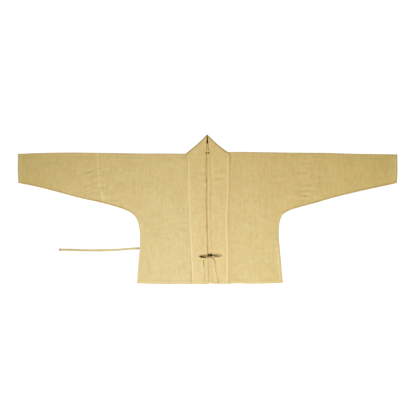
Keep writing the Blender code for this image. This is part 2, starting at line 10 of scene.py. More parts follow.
import bmesh
import bpy
import numpy as np
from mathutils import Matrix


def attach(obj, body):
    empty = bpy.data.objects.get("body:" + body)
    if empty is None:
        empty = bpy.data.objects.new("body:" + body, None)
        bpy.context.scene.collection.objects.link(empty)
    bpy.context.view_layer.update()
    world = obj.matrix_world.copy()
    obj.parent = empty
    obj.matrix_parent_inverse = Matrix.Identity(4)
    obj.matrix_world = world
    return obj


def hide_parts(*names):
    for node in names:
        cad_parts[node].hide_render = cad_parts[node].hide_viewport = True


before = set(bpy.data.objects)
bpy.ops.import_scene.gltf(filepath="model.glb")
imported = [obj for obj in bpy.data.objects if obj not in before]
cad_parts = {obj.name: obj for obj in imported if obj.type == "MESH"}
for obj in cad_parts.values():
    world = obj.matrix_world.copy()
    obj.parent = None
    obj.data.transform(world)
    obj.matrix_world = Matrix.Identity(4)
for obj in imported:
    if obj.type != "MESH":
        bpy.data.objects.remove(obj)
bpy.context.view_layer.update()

MM = 0.001
RIGHT, LEFT = -1, 1
WEARER = {RIGHT: "right", LEFT: "left"}

# Cloth and its layers
WALL = 0.7         # one ply as drawn
PLY = 0.5          # what a turning adds
LEVEL = 1.2        # top of the back's ply and thickness of the front's in the solids
AIR = 0.8          # between front and back just inside a fold
BAND = 1.6         # collar band, folded double
BAND_Z = 2.0       # underside of the band where it lies on the back
SEAM = 0.04        # between pieces that are sewn together
TURN = AIR / 2 + LEVEL            # outer radius of a shoulder or side fold
BAND_TURN = (BAND_Z + BAND) / 2   # outer radius of the fold at the collar's slanting edges
TURN_STEPS = 7     # sections inside each half circle

# Turnings and seams
HEM, VENT, CUFF = 16.0, 12.0, 13.0   # depths of the turnings
VENT_TOP = -205.0  # the side edges are open below this height
SEAM_FADES = -195.0   # the side seam's darker line (stitched tone with painted shade) has faded out below this height
SIDE_DOWN = -190.0    # the side seam runs down without a turn below this height
RIDGE = 7.5        # width of a pressed seam allowance
RISE = 0.5         # how far a turning or an allowance stands proud
STEP = 2.5         # width of the slope down from one
SWELL = 1.4        # air under the front away from its edges
SWELL_EDGE = 45.0  # distance over which that air builds up
FLAT_EDGE = 7.0    # distance from an edge over which the front's fine creases build up
BACK_FLAT_EDGE = 14.0   # the same on the back
ROLL = 0.55        # radius of a folded edge
PRESS_LINE = 20.0  # a faint pressed line runs this far below the shoulder fold
FOLD_LINE = 5.6    # the darker line along the underarm fold, from the end of its half circle: a stitched tone with painted shade over it
FOLD_RISE = 11.0   # the edge of the allowance that lies inside that fold

# Steps of the grids
PITCH = 3.4        # about the distance between neighbouring points
BAND_WIDTH = 85.0  # width for which the columns along the band are laid out
SEAM_STEPS = (0.5, 1.3, 2.6)   # distances of the first columns from a seam
SETTLE = 8         # rounds in which a grid's places and its curved edges are fitted to each other
SETTLE_LOW = 6     # the same below the armpit
BOW_ROWS = (-239.0, -203.0, 1.4)   # closer rows of the band under the bow: from, to, step
PEAK_ROWS = 25     # rows of the band beside a slanting edge
NECK_ROWS = 30     # rows of the band along half the back neck
TAPE_RING, KNOT_RING, STITCH_RING = 20, 48, 6   # points round a tape, the knot and a stitch
SHARP = 55         # degrees past which an edge is shaded sharp

# Outline of each side. Shoulder fold: out, up.
SHOULDER = {
    RIGHT: [(103, 263.0), (214, 264.0), (299, 263.8), (427, 266.0), (513, 266.8), (641, 268.5),
            (727, 267.6), (812, 265.6), (900, 262.0)],
    LEFT: [(97, 270.6), (128, 271.6), (213, 270.7), (298, 269.6), (384, 268.2), (469, 267.5), (555, 266.7),
           (640, 264.3), (725, 262.0), (812, 261.2), (900, 259.6)],
}
# Underarm seam, then side seam, from cuff to hem: out, up.
UNDERARM = {
    RIGHT: [(900, 124.5), (855, 116.0), (769, 96.3), (683, 73.6), (598, 51.0), (513, 32.5), (427, 9.0),
            (385, -5.8), (357, -21.5), (341, -39.0), (330, -62.0), (323.5, -92.0), (320.5, -135.0),
            (321.8, -185.0), (326.6, -240.0), (330.9, -292.0), (335.6, -352.0)],
    LEFT: [(900, 124.5), (853, 113.6), (768, 95.4), (683, 75.8), (597, 54.5), (512, 29.8), (426, 6.5),
           (384, -8.0), (361, -22.0), (347.5, -42.0), (341, -66.0), (337.7, -98.0), (338.4, -140.0),
           (342.2, -185.0), (347.4, -240.0), (351.2, -292.0), (356.8, -350.0)],
}
ARMPIT_WITHIN = 420.0   # the armpit is nearer the centre than this
# Hem: out, up.
HEM_LINE = {
    RIGHT: [(0, -357.0), (86, -355.2), (171, -354.8), (256, -354.6), (300, -352.6), (335, -351.4)],
    LEFT: [(0, -357.0), (85, -354.9), (128, -351.8), (213, -353.4), (298, -351.8), (356, -349.3)],
}
HEM_UP = -352.0       # about the hem's height
BACK_HEM_LIFT = 5.0   # the back's hem is this much shorter at the centre
BACK_LIFT_WIDTH = 60.0
# Sleeve seam: up, out.
SLEEVE_SEAM = {RIGHT: [(35, 493.0), (68, 500.0), (108, 508.5), (170, 516.5), (268, 523.0)],
               LEFT: [(30, 507.0), (120, 512.0), (268, 520.0)]}
CUFF_LINE = [(125, 896.8), (165, 898.7), (262, 899.0)]   # cuff: up, out
CUFF_OUT = 898.7
SLEEVE_UP = 150.0     # a height on the sleeve where its length is taken
# Collar band from the neck corner to the hem: up, out at the seam to the front, out at the free edge.
BAND_LINE = {
    RIGHT: [(262, 103.0, 7.6), (246, 97.5, 7.7), (224, 92.6, 8.0), (186, 91.8, 9.0), (120, 91.3, 6.8),
            (44, 90.2, 8.4), (-32, 87.5, 5.8), (-89, 85.0, 4.2), (-146, 81.8, 2.2), (-208, 78.6, 0.6),
            (-265, 76.6, -2.6), (-317, 73.8, -3.4), (-360, 72.0, -3.8)],
    LEFT: [(270, 97.0, 6.8), (256, 102.2, 8.6), (240, 102.6, 10.0), (220, 100.9, 11.2), (165, 100.6, 14.2),
           (105, 99.8, 18.8), (45, 97.5, 15.6), (-32, 93.8, 15.4), (-89, 94.6, 16.4), (-146, 96.2, 18.4),
           (-208, 97.3, 19.7), (-265, 97.2, 19.9), (-317, 96.5, 20.2), (-360, 96.3, 20.5)],
}
NECK_CORNER = {RIGHT: (103.4, 263.6), LEFT: (97.4, 271.2)}   # out, up
PEAK = {RIGHT: (4.0, 353.5), LEFT: (-1.0, 353.5)}            # out of each slanting edge's upper end, up
PEAK_TOP = 354.6
# Each slanting edge's inward curve: how deep, and how far its deepest place is moved towards the neck corner
# or the peak (a power below or above 1).
SLOPE_DIP = {RIGHT: (3.0, 1.35), LEFT: (4.4, 0.82)}
BACK_NECK_UP = 272.0
BACK_NECK_X = -2.5    # where the two halves of the band meet behind the neck
NECK_SHADE_SPOTS = ((-6.0, 266.8), (5.0, 267.6))   # x, up of two small spots of painted shade beside the back neck seam

# Creases by side: out, up, direction in degrees, half length, half width, height, sideways bow at the ends.
BROAD = {
    RIGHT: [(470, 120, 52, 75, 17, 0.8, 0), (560, 150, 63, 70, 16, 0.7, 0), (600, 105, 40, 60, 15, 0.8, 0),
            (395, 60, 58, 80, 20, 0.9, 0), (250, -40, 78, 90, 24, 0.6, 0), (740, 185, 12, 80, 18, 0.5, 0)],
    LEFT: [(470, 165, 8, 60, 14, 0.7, 0), (462, 120, 14, 55, 14, 0.8, 0), (575, 120, 35, 70, 16, 0.6, 0),
           (405, 55, 55, 80, 20, 0.9, 0), (255, -60, 98, 95, 24, 0.6, 0), (730, 180, -8, 85, 18, 0.5, 0)],
}
FINE = {
    RIGHT: [(560, 180, -19, 34, 5, -0.55, 2), (562, 169, -21, 40, 6, 0.6, 3),
            (545, 141, -26, 30, 6, 0.5, -2), (552, 122, -30, 34, 6, -0.5, 2),
            (566, 104, -24, 38, 6, 0.6, -3), (545, 88, -34, 34, 6, 0.6, 3), (572, 74, -18, 36, 5, -0.7, 2),
            (589, 74, -22, 30, 5, 0.7, 3), (541, 62, -50, 26, 5, 0.6, -2), (648, 86, -42, 26, 6, 0.6, 2),
            (664, 96, -55, 24, 5, -0.4, -2), (497, 78, 88, 30, 4, 0.8, 2), (508, 103, 5, 16, 6, -0.9, 0),
            (484, 96, -30, 26, 6, 0.5, 2), (468, 68, -22, 34, 6, 0.5, -3), (452, 35, 4, 26, 5, 0.6, 2),
            (440, 46, 12, 30, 5, -0.5, 3), (372, 12, 40, 26, 6, 0.5, 2), (352, -2, 52, 22, 5, -0.5, 2),
            (700, 205, 6, 46, 8, 0.4, 4), (835, 165, 68, 30, 7, 0.4, 3), (300, 190, 84, 60, 9, 0.35, 6),
            (190, 60, 92, 90, 10, 0.3, -6), (230, -210, 80, 70, 9, 0.3, 5), (107, 246, 123, 18, 5, -1.1, 0),
            (115, 236, 122, 20, 6, 1.0, 2), (130, 246, 132, 26, 7, -0.5, 2)],
    LEFT: [(110, 252, 118, 20, 6, -0.8, 2), (120, 240, 116, 24, 7, 0.8, -2), (462, 118, 2, 30, 5, -0.9, 2),
           (476, 106, 7, 40, 6, 0.9, -3), (452, 92, 3, 36, 6, -0.8, 3), (462, 79, 8, 42, 6, 0.6, -4),
           (460, 67, -6, 22, 5, -0.7, 2), (452, 57, -3, 34, 6, 0.7, 3), (466, 43, 10, 22, 5, -0.6, 2),
           (458, 222, -4, 26, 6, -0.5, 3), (436, 176, 3, 26, 5, -0.6, 2), (444, 164, 4, 30, 6, 0.5, -2),
           (520, 142, 5, 36, 6, 0.5, 2), (536, 130, 2, 34, 6, -0.4, -2), (336, 150, 12, 34, 7, 0.4, 4),
           (330, 132, 8, 38, 7, -0.4, -3), (516, 70, -24, 24, 5, -0.6, 2), (532, 62, -20, 26, 5, 0.6, 2),
           (372, 10, 40, 28, 6, 0.5, 2), (350, -14, 58, 26, 6, -0.5, 2), (340, -150, 84, 46, 6, 0.5, 3),
           (330, -178, 70, 40, 6, -0.4, 3), (316, -182, 12, 34, 7, 0.5, 3), (690, 205, -6, 46, 8, 0.4, 4),
           (820, 190, -64, 34, 8, 0.4, 3), (240, 150, 95, 70, 10, 0.3, 6), (180, -140, 88, 90, 10, 0.3, -5)],
}
FINE_GAIN = {RIGHT: 1.8, LEFT: 2.1}   # factor on the fine creases' heights
BAND_GAIN = 2.1                       # the same on the band
# The back's, which the floor presses flat between them.
BACK = {
    RIGHT: [(470, 110, 120, 80, 14, 0.7, 5), (400, 40, 40, 70, 12, 0.6, -4),
            (230, -120, 82, 110, 16, 0.5, 8), (620, 150, 20, 90, 14, 0.5, 6),
            (120, 140, 100, 90, 14, 0.5, 5)],
    LEFT: [(480, 130, 60, 80, 14, 0.7, 5), (410, 30, 42, 70, 12, 0.6, 4), (210, -60, 96, 110, 16, 0.5, -8),
           (660, 160, -14, 90, 14, 0.5, 6), (130, 170, 80, 80, 14, 0.5, 5)],
}
# On the collar band.
BAND_CREASES = {
    RIGHT: [(15, 204, 4, 14, 6, 0.5, 2), (17, 176, -6, 15, 6, -0.5, 2), (14, 158, 8, 14, 6, 0.6, 2),
            (15, 140, 2, 13, 5, -0.5, 2), (14, 122, -4, 14, 6, 0.6, 2), (15, 103, 5, 13, 5, -0.5, 2),
            (14, 86, 0, 13, 6, 0.5, 2), (50, 150, 14, 34, 8, -0.3, 4), (56, 40, 6, 30, 10, 0.3, 3),
            (42, 306, 44, 26, 7, 0.4, 2), (20, -236, 0, 17, 3.5, 1.3, 0), (14, 190, 4, 13, 6, 0.6, 2),
            (14, 70, 0, 13, 6, 0.5, 2)],
    LEFT: [(58, 187, 2, 34, 7, -0.6, 4), (56, 170, 4, 36, 7, 0.5, -4), (62, 150, -3, 34, 7, -0.4, 3),
           (58, 134, 2, 34, 7, 0.4, 3), (66, 112, 5, 30, 7, -0.3, 3), (34, 205, 80, 20, 6, 0.5, 2),
           (60, -60, 4, 34, 10, 0.3, 3), (40, 318, 40, 24, 7, -0.4, 2), (44, -233, 4, 20, 4, 0.8, 0)],
}
# Small spots of painted shade on the front: out, up, radius, depth of tone.
SPOTS = {
    RIGHT: [(507, 102, 4.5, 0.3), (518, 80, 4, 0.2), (514, 70, 4, 0.2), (105, 258, 6, 0.3),
            (548, 80, 4, 0.15)],
    LEFT: [(98, 264, 6, 0.3), (452, 222, 5, 0.12), (428, 176, 5, 0.12)],
}
# Slack of laid cloth: wave length, direction in degrees, phase, height.
SLACK = [(131, 17, 0.4, 0.34), (87, 102, 2.1, 0.26), (53, 64, 4.0, 0.13), (39, -38, 1.2, 0.09),
         (211, 80, 3.3, 0.45)]
# Pucker along a stitched line: wave length along it, phase, share of the height.
PUCKER = [(11.3, 0.6, 0.5), (17.9, 2.4, 0.7), (29.3, 4.4, 0.9), (7.1, 1.3, 0.25)]

# Soft stripes on each side's front: strength, distance from their line, width.
LOOSE_SEAM = {RIGHT: (4.2, 64, 17), LEFT: (1.8, 60, 28)}          # widens the sleeve seam near a height
CUFF_PALE = {RIGHT: (1.0, 12, 2.6), LEFT: (1.0, 9.5, 2.6)}        # pale line along the cuff
VENT_PALE = {RIGHT: (1.0, 6, 4.5), LEFT: (0.9, 12.5, 2.4)}        # pale line along the open side edge
VENT_LINE = {RIGHT: (0.12, VENT + 1, 1.6), LEFT: (0.45, 4, 3.5)}  # darker line along it: at the top of the turning on the right, near the edge on the left
CUFF_EDGE_TONE = {RIGHT: 0.15, LEFT: 0.3}                              # strength of the darker tone along the cuff's edge
# Painted shade beside the band: at the neck, all along it, at the hem, and wide and faint.
BESIDE_BAND = {RIGHT: [(0.15, 2, 3), (0.0, 4, 5), (0.3, 2, 3), (0.025, 0, 45)],
               LEFT: [(0.35, 2, 3), (0.13, 4, 5), (0.0, 2, 3), (0.065, 0, 60)]}
BAND_HIGHLIGHT = {RIGHT: 1.5, LEFT: 0.9}     # strength of the painted highlight beside the free edge near the peak
EDGE_SPREAD = {RIGHT: 0.5, LEFT: 1.3}   # how much wider the painted shade at the free edge is there

# Ties: tapes of the same cloth, sewn shut and turned in at their ends
TAPE = 9.5
TAPE_WALL = 1.2
REST = 0.3
TAIL_Z = BAND_Z + BAND + REST + TAPE_WALL / 2
LOOP_Z = BAND_Z + BAND + REST + TAPE / 2
FLOOR_LIFT = 0.05   # of the side tie over the floor
TAIL_LIFT = 0.25    # of the tails over TAIL_Z
TIP = 0.1           # how far a tape's end bulges
# Routes on the middle of the tape: x, y, and where a tail isn't down on the band yet, its rise.
TIE_SIDE = [(-322.1, -185.6), (-334, -186.0), (-370, -188.0), (-427, -192.4), (-484, -194.6),
            (-541, -195.3), (-598, -194.6), (-655, -192.2), (-690, -192.0), (-704.8, -191.8)]
TAILS = {
    RIGHT: [(9.0, -224.6, 1.4), (5.6, -228.6, 1.3), (-3, -231.2, 0.7), (-13, -232.8, 0.3),
            (-20.6, -235.2, 0.1), (-24.4, -242), (-24.8, -252), (-23.6, -264), (-20.6, -278), (-19.7, -292),
            (-20.0, -312), (-20.0, -337)],
    LEFT: [(11.4, -225.0, 1.4), (14.8, -229.4, 1.1), (19.5, -233.4, 0.6), (25.6, -239.5, 0.1), (28.6, -250),
           (29.6, -262), (31.4, -277), (34.4, -297), (39.8, -320), (50.6, -348)],
}
# Loops, from the knot out along the upper strand and back along the lower one.
LOOPS = {
    RIGHT: [(2.3, -217.2), (-8, -218.6), (-22, -219.8), (-33, -220.6), (-40.0, -221.8), (-41.6, -224.0),
            (-38, -226.0), (-27, -227.4), (-14, -228.8), (-6, -227.0), (2.3, -221.4)],
    LEFT: [(18.1, -216.0), (30, -214.7), (46, -214.8), (56, -216.2), (64.5, -218.8), (66.5, -222.0),
           (62, -225.0), (50, -225.8), (34, -224.4), (18.1, -221.2)],
}
# How each loop lies: degrees its upper and lower strand lean, the share along it where it turns over, its
# lean's sign, the side of the tape that faces inwards, and the painted shade within it, deep and all over.
LOOP_LOOK = {RIGHT: (12, 38, 0.42, -1, -1, 0.75, 0.25), LEFT: (48, 22, 0.52, 1, 1, 0.0, 0.06)}
LOOP_STATIONS = {RIGHT: 90, LEFT: 96}
TAIL_STATIONS = {RIGHT: 70, LEFT: 76}
TAIL_END = {RIGHT: 0.15, LEFT: 0.6}                     # depth of the line across each tail's turned end
TAIL_BEND = {RIGHT: (-233.5, -266), LEFT: (-234, -259)}   # heights at which a tail's bend starts and ends
# Painted shade under the bow: middle x and up, half width and half height, depth of tone.
BOW_HOLLOWS = [(-31.0, -224.0, 12.0, 3.0, 1.0), (-14.0, -227.0, 11.0, 3.0, 1.0),
               (3.0, -219.0, 3.5, 4.5, 0.95), (38.0, -219.2, 19.0, 2.0, 1.0),
               (18.5, -217.5, 4.0, 5.0, 0.95), (15.5, -227.5, 6.0, 3.0, 0.45)]
# Knot, with the two tie roots that are sewn to the bands' free edges: x, y, z, depth, height.
KNOT = [(0.2, -218.4, 2.9, 9.4, 1.3), (2.7, -218.4, 2.9, 9.6, 1.5), (3.3, -218.4, 6.2, 11.2, 7.6),
        (6.2, -218.5, 6.9, 12.6, 10.0), (8.6, -218.5, 6.7, 11.6, 9.2), (10.8, -218.5, 6.6, 11.0, 8.8),
        (13.0, -218.5, 6.7, 11.8, 9.2), (15.0, -218.5, 6.9, 12.4, 9.8), (17.0, -218.4, 6.2, 11.0, 7.6),
        (17.5, -218.4, 2.9, 9.6, 1.5), (19.1, -218.4, 2.9, 9.4, 1.3)]
KNOT_X = 10.2        # middle of its lump

# Hand stitches: half length and radius, their spacing at the hem, cuff and side turnings, and how far inside
# a turning's edge they sit
STITCH_HALF, STITCH_RADIUS = 1.5, 0.32
STITCH_GAPS = (7.0, 6.5, 7.5)
STITCH_INSIDE = 1.2

# Weave: thread spacing, drawn nearly twice as coarse as the cloth's 0.9 mm so that it shows from a step away
THREAD = 1.6
BAND_CUT = 1500.0  # keeps the band's place on the cloth away from the body's
TAPE_CUT, KNOT_CUT, SEAM_CUT = 300, 400, 40   # the same for the tapes, the knot and a tape's other face
UV = "cloth_map"   # place on the cut cloth in metres: across the warp, along the warp
# Tones at each point, from 0 to 1: cloth lying double; a stitched tone for stitched lines, also used as
# painted shade along folds, edges and inside the bow; and painted shade in crevices, under edges and round
# the bow
TONES = ("ply", "line", "painted_shade")

# Tints multiplied in by place: a place in metres, the distances from it at which its tint is full and gone,
# and the tint
# The first deepens and warms the cloth away from the wearer's lower right front; the others darken it faintly
# round a place on the wearer's left and at the wearer's right cuff
PLACE_TINTS = [((-0.15, -0.35, 0.0), 1.05, 0.05, "fff6d5"), ((0.3, 0.2, 0.0), 0.05, 0.3, "fdf9f7"),
          ((-0.88, 0.19, 0.0), 0.05, 0.25, "fafafa")]
PAINTED_SHADOW = "1c0e05"              # near-black painted shadow, where the painted shade is deepest: inside the bow and the slit of the neck

# Camera and light, in metres, watts and degrees
LENS, SENSOR = 70.0, 36.0
FRAME_WIDTH = 1.973
FRAME_CENTRE = (0.0019, 0.0057)
SOFTBOX_AT, SOFTBOX_SIZE, SOFTBOX_POWER = (-0.03, -0.56, 1.5), 0.5, 13.8
KEY_TILT, KEY_TURN, KEY_SPREAD, KEY_STRENGTH = 38, -32, 9, 1.42
FILL_STRENGTH = 0.127
FLOOR_SIZE, FLOOR_Z, FLOOR_GLOW = 400.0, -0.0002, 0.86


def smooth(table, at, value=1, key=0):
    """Reads a table's value column at the given keys from a cubic curve through its rows."""
    rows = np.array(sorted(table, key=lambda row: row[key]), dtype=float)
    x, y = rows[:, key], rows[:, value]
    rate = np.gradient(y, x)
    at = np.clip(np.asarray(at, dtype=float), x[0], x[-1])
    i = np.clip(np.searchsorted(x, at) - 1, 0, len(x) - 2)
    h = x[i + 1] - x[i]
    t = (at - x[i]) / h
    return ((2 * t**3 - 3 * t**2 + 1) * y[i] + (t**3 - 2 * t**2 + t) * h * rate[i]
            + (3 * t**2 - 2 * t**3) * y[i + 1] + (t**3 - t**2) * h * rate[i + 1])


def steps(points):
    """Distances between neighbouring points."""
    return np.linalg.norm(np.diff(points, axis=0), axis=1)


def travelled(points):
    """Distance along a route to each of its points."""
    return np.r_[0, np.cumsum(steps(points))]


def length_of(points):
    """A route's whole length."""
    return float(steps(points).sum())


def unit(vectors):
    """The same directions at length 1."""
    return vectors / np.linalg.norm(vectors, axis=-1)[..., None]


def headings(path):
    """The direction of a path at each of its points."""
    return unit(np.gradient(path, axis=0))


def left_of(path):
    """The direction to the left of a plane path at each of its points."""
    along = headings(path)
    return np.c_[-along[:, 1], along[:, 0]]


def raised(grid, height):
    """Places (out, up) with their heights: points in space."""
    return np.concatenate([grid, height[..., None]], axis=-1)


def route(points, count):
    """Even points on a smooth curve through a route's own points."""
    points = np.array(points, dtype=float)
    along = travelled(points)
    fine = np.linspace(0, along[-1], 40 * len(points))
    curve = np.stack([smooth(np.c_[along, column], fine) for column in points.T], axis=1)
    length = travelled(curve)
    even = np.linspace(0, length[-1], count)
    return np.stack([np.interp(even, length, column) for column in curve.T], axis=1)


def fractions(length, pitch, start=(), end=()):
    """Places from 0 to 1 along a length: given distances from each end, and even steps between them."""
    low, high = [0.0, *start], [*(length - d for d in end), length]
    count = max(2, round((high[0] - low[-1]) / pitch))
    middle = np.linspace(low[-1], high[0], count + 1)
    return np.r_[low[:-1], middle, high[1:]] / length


def near(length, places, total, kept):
    """Fits places made for one total length to lines of other lengths: those within the kept distance of the
    end keep their distance from it, and the rest spread evenly."""
    length = np.asarray(length, dtype=float)[..., None]
    distance = (1 - places) * total
    spread = places * (1 - kept / length) / (1 - kept / total)
    return np.where(distance <= kept, 1 - distance / length, spread)


def own_place(places):
    """From the places along each grid line, picks for every point the place of its own row."""
    index = np.arange(len(places))[:, None, None]
    return np.take_along_axis(places, np.broadcast_to(index, places.shape[:2] + (1,)), axis=2)[..., 0]


def turning_steps(width):
    """Distances from an edge at which a turning or seam allowance of that width needs points."""
    return (width + STEP, width + STEP / 2, width, *np.arange(width - STEP, 2.0, -PITCH), 1.2, 0.4)


def ramp(distance, width, step=STEP):
    """1 at and below a width, falling smoothly to 0 over one step."""
    t = np.clip((np.asarray(distance) - width) / step, 0, 1)
    return 1 - t * t * (3 - 2 * t)


def bell(distance, width):
    """1 at no distance, falling off on both sides over about the width."""
    return np.exp(-(np.asarray(distance) / width) ** 2)


def stripe(distance, depth, middle, width):
    """A soft stripe: a bell of that depth round its middle."""
    return depth * bell(distance - middle, width)


def deepest(*tones):
    """The greatest of several tones at each point."""
    return np.maximum.reduce(np.broadcast_arrays(*tones))


def oval(x, up, middle_x, middle_up, half_x, half_up, fade=0.5):
    """1 inside an oval and 0 outside it, fading across its rim."""
    return ramp(np.hypot((x - middle_x) / half_x, (up - middle_up) / half_up), 0.75, fade)


def roll(distance):
    """How far a face sinks towards a folded edge: a quarter circle of the fold's radius."""
    t = np.clip(1 - np.asarray(distance) / ROLL, 0, 0.96)
    return ROLL * (1 - np.sqrt(1 - t * t))


def shoulder(side, out):
    """Height of the shoulder fold."""
    return smooth(SHOULDER[side], out)


def seam_x(side, up):
    """Place of the sleeve seam."""
    return smooth(SLEEVE_SEAM[side], up)


def band_seam(side, up):
    """Place of the seam between front and band."""
    return smooth(BAND_LINE[side], up)


def band_edge(side, up):
    """Place of the band's free edge."""
    return smooth(BAND_LINE[side], up, value=2)


def hem(side, out):
    """Height of the front's hem."""
    return smooth(HEM_LINE[side], out)


def outline(side):
    """The underarm and side seam as dense points (out, up), with the outward direction at each."""
    points = route(UNDERARM[side], 500)
    return points, left_of(points)


def inset_outline(side):
    """The outline moved in by a fold's radius: points, outward directions, and the index of the armpit, where
    the underarm seam has turned half way to the side seam."""
    points, normal = outline(side)
    inside = (points[:, 0] < ARMPIT_WITHIN) & (normal[:, 0] >= -normal[:, 1])
    return points - normal * TURN, normal, int(np.argmax(inside))


def nearest(places, out, up):
    """Distance from each point to the nearest of some places."""
    best = np.full(np.broadcast(out, up).shape, np.inf)
    for x, y in places:
        best = np.minimum(best, (out - x) ** 2 + (up - y) ** 2)
    return np.sqrt(best)


def creases(table, side, out, up):
    """Sum of a side's creases: each is a soft ridge or trough along a slightly bowed line, fading along its
    length: height times exp(-(along/half length)^2 - (across/half width)^2)."""
    height = np.zeros(np.broadcast(out, up).shape)
    for x, y, degrees, half_length, half_width, rise, bow_out in table[side]:
        c, s = math.cos(math.radians(degrees)), math.sin(math.radians(degrees))
        along = ((out - x) * c + (up - y) * s) / half_length
        across = ((up - y) * c - (out - x) * s - bow_out * along**2) / half_width
        height += rise * np.exp(-along**2 - across**2)
    return height


def slack(side, out, up):
    """Long low waves whose lengths share no measure, so that no part of the cloth is dead flat."""
    height = np.zeros(np.broadcast(out, up).shape)
    for length, degrees, phase, rise in SLACK:
        a = math.radians(degrees * side)
        height += rise * np.sin(2 * math.pi * (out * math.cos(a) + up * math.sin(a)) / length + phase + side)
    return height


def pucker(along, distance, reach, phase=0.0):
    """Short waves across a stitched line that die away from it over a reach."""
    waves = sum(share * np.sin(2 * math.pi * along / length + start + phase)
                for length, start, share in PUCKER)
    return waves * np.exp(-np.abs(distance) / reach)


def panel_edges(side):
    """Dense points round the front panel and the sleeve, without the sleeve seam."""
    across, down, low = np.linspace(100, 900, 260), np.linspace(260, HEM_UP, 200), np.linspace(75, 350, 90)
    return np.concatenate([outline(side)[0], np.c_[across, shoulder(side, across)],
                           np.c_[band_seam(side, down), down], np.c_[low, hem(side, low)]])


def turnings(side, out, up):
    """Where the cloth lies double, from 0 to 1: hem, cuff and open side edges, and the sleeve seam's
    allowance, pressed open. Also the distances to the hem, the cuff, the side edge and the sleeve seam."""
    points = outline(side)[0]
    low = points[points[:, 1] < SIDE_DOWN][::-1]
    vent = np.interp(up, low[:, 1], low[:, 0]) - out
    hem_up = up - hem(side, out)
    cuff = smooth(CUFF_LINE, up) - out
    seam = seam_x(side, up) - out
    turned = deepest(ramp(hem_up, HEM), ramp(cuff, CUFF), ramp(vent, VENT) * ramp(up - VENT_TOP, 0))
    return turned, ramp(np.abs(seam), 2.2 + stripe(up, *LOOSE_SEAM[side]), 2.0), hem_up, cuff, vent, seam


def pit_shade(x, up):
    """Painted shade of two small dark spots that flank the back neck seam."""
    return np.minimum(1.55 * deepest(*(bell(np.hypot(x - at, up - high), 3.7) for at, high in NECK_SHADE_SPOTS)), 1)


def front(side, out, up):
    """Heights of the front's top and underside and its tones. The top is the solid's: air that builds up away
    from the edges plus the broad creases, with turnings and allowances raised, and on it the fine creases,
    the slack and the pucker of each seam. The sleeve seam is pressed open, raised on both its sides."""
    out, up = np.broadcast_arrays(out, up)
    distance = nearest(panel_edges(side), out, up)
    inside = 1 - np.exp(-(distance / SWELL_EDGE) ** 2)
    close = 1 - np.exp(-(distance / FLAT_EDGE) ** 2)
    turned, ridge, hem_up, cuff, vent, seam = turnings(side, out, up)
    from_band = out - band_seam(side, up)
    fine = close * (FINE_GAIN[side] * creases(FINE, side, out, up) + slack(side, out, up))
    for share, along, beside, reach, phase, where in (
            (0.3, up, from_band, 14, 1.0, close), (0.35, up, seam, 18, 2.0, close),
            (0.18, out, hem_up - HEM, 8, 3.0, 1.0), (0.18, up, cuff - CUFF, 8, 0.5, 1.0),
            (0.18, up, vent - VENT, 7, 4.0, ramp(up + 180, 0, 30))):
        fine += share * pucker(along, beside, reach, phase) * where
    fine = np.maximum(fine, -1.3)
    rise = RISE * np.maximum(turned, ridge)
    below = shoulder(side, out) - up
    pressed = bell(below - PRESS_LINE, 3.0) * (0.55 + 0.45 * np.sin(out / 41 + side))
    top = LEVEL + AIR + LEVEL + inside * (SWELL + creases(BROAD, side, out, up)) + fine + rise - 0.5 * pressed
    folded = nearest(outline(side)[0], out, up)
    top += 0.3 * bell(folded - FOLD_RISE, 4) - 0.3 * bell(from_band, 1.3) - 0.1 * bell(seam, 0.8)
    under = top - WALL - PLY * turned
    edge = roll(np.minimum(hem_up, cuff))

    # Strength along the underarm of the darker line by the fold, a stitched tone with painted shade over it
    fold_line_strength = 0.3 + 0.35 * bell(out - 515, 40) + 0.2 * bell(out - 425, 45)
    closed = 1 - 0.85 * ramp(up - SEAM_FADES, 0, 20)
    line = deepest(stripe(hem_up, 0.25, 14.0, 3.0), CUFF_EDGE_TONE[side] * ramp(cuff, 5.5, 4),
                   stripe(vent, *VENT_LINE[side]) * ramp(up - VENT_TOP, 0, 12),
                   (0.2 + 0.9 * fold_line_strength) * closed * bell(folded - FOLD_LINE, 3.0), 0.25 * pressed)
    neck, whole, low, wide = (stripe(from_band, *row) for row in BESIDE_BAND[side])
    beside = neck * (1 - ramp(up, 205, 30)) + whole + low * ramp(up, -250, 40) + wide
    # Painted shade: along that line by the underarm fold, below the shoulder fold, beside the band seam, at
    # the hem's edge and beside the band
    painted_shade = deepest(0.3 * fold_line_strength * closed * bell(folded - FOLD_LINE, 2.8),
                      0.08 * bell(below, 12) + 0.05 * bell(below, 3), 0.2 * bell(from_band, 1.6),
                      0.12 * bell(hem_up, 3), beside)
    spots = sum(depth * bell(np.hypot(out - x, up - y), reach) for x, y, reach, depth in SPOTS[side])
    # The sleeve seam's allowance lies double and is paler; on the right it is paler still at two heights, as
    # painted highlight
    if side == RIGHT:
        seam_tone = 0.75 + 0.35 * bell(up - 60, 25) + 0.3 * bell(up - 245, 30)
    else:
        seam_tone = 0.3 + 0.2 * np.sin(up / 23)
    ply = deepest(0.5 * turned * ramp(CUFF - cuff, 0, 6) * (1 - 0.6 * ramp(hem_up, HEM, 3)),
                  stripe(cuff, *CUFF_PALE[side]), ridge * seam_tone, 0.3 * bell(folded - FOLD_RISE, 3),
                  stripe(vent, *VENT_PALE[side]) * ramp(up - SEAM_FADES, 0, 20))
    return top - edge, under + edge, np.clip(ply, 0, 1), line, np.clip(painted_shade + spots, 0, 1)


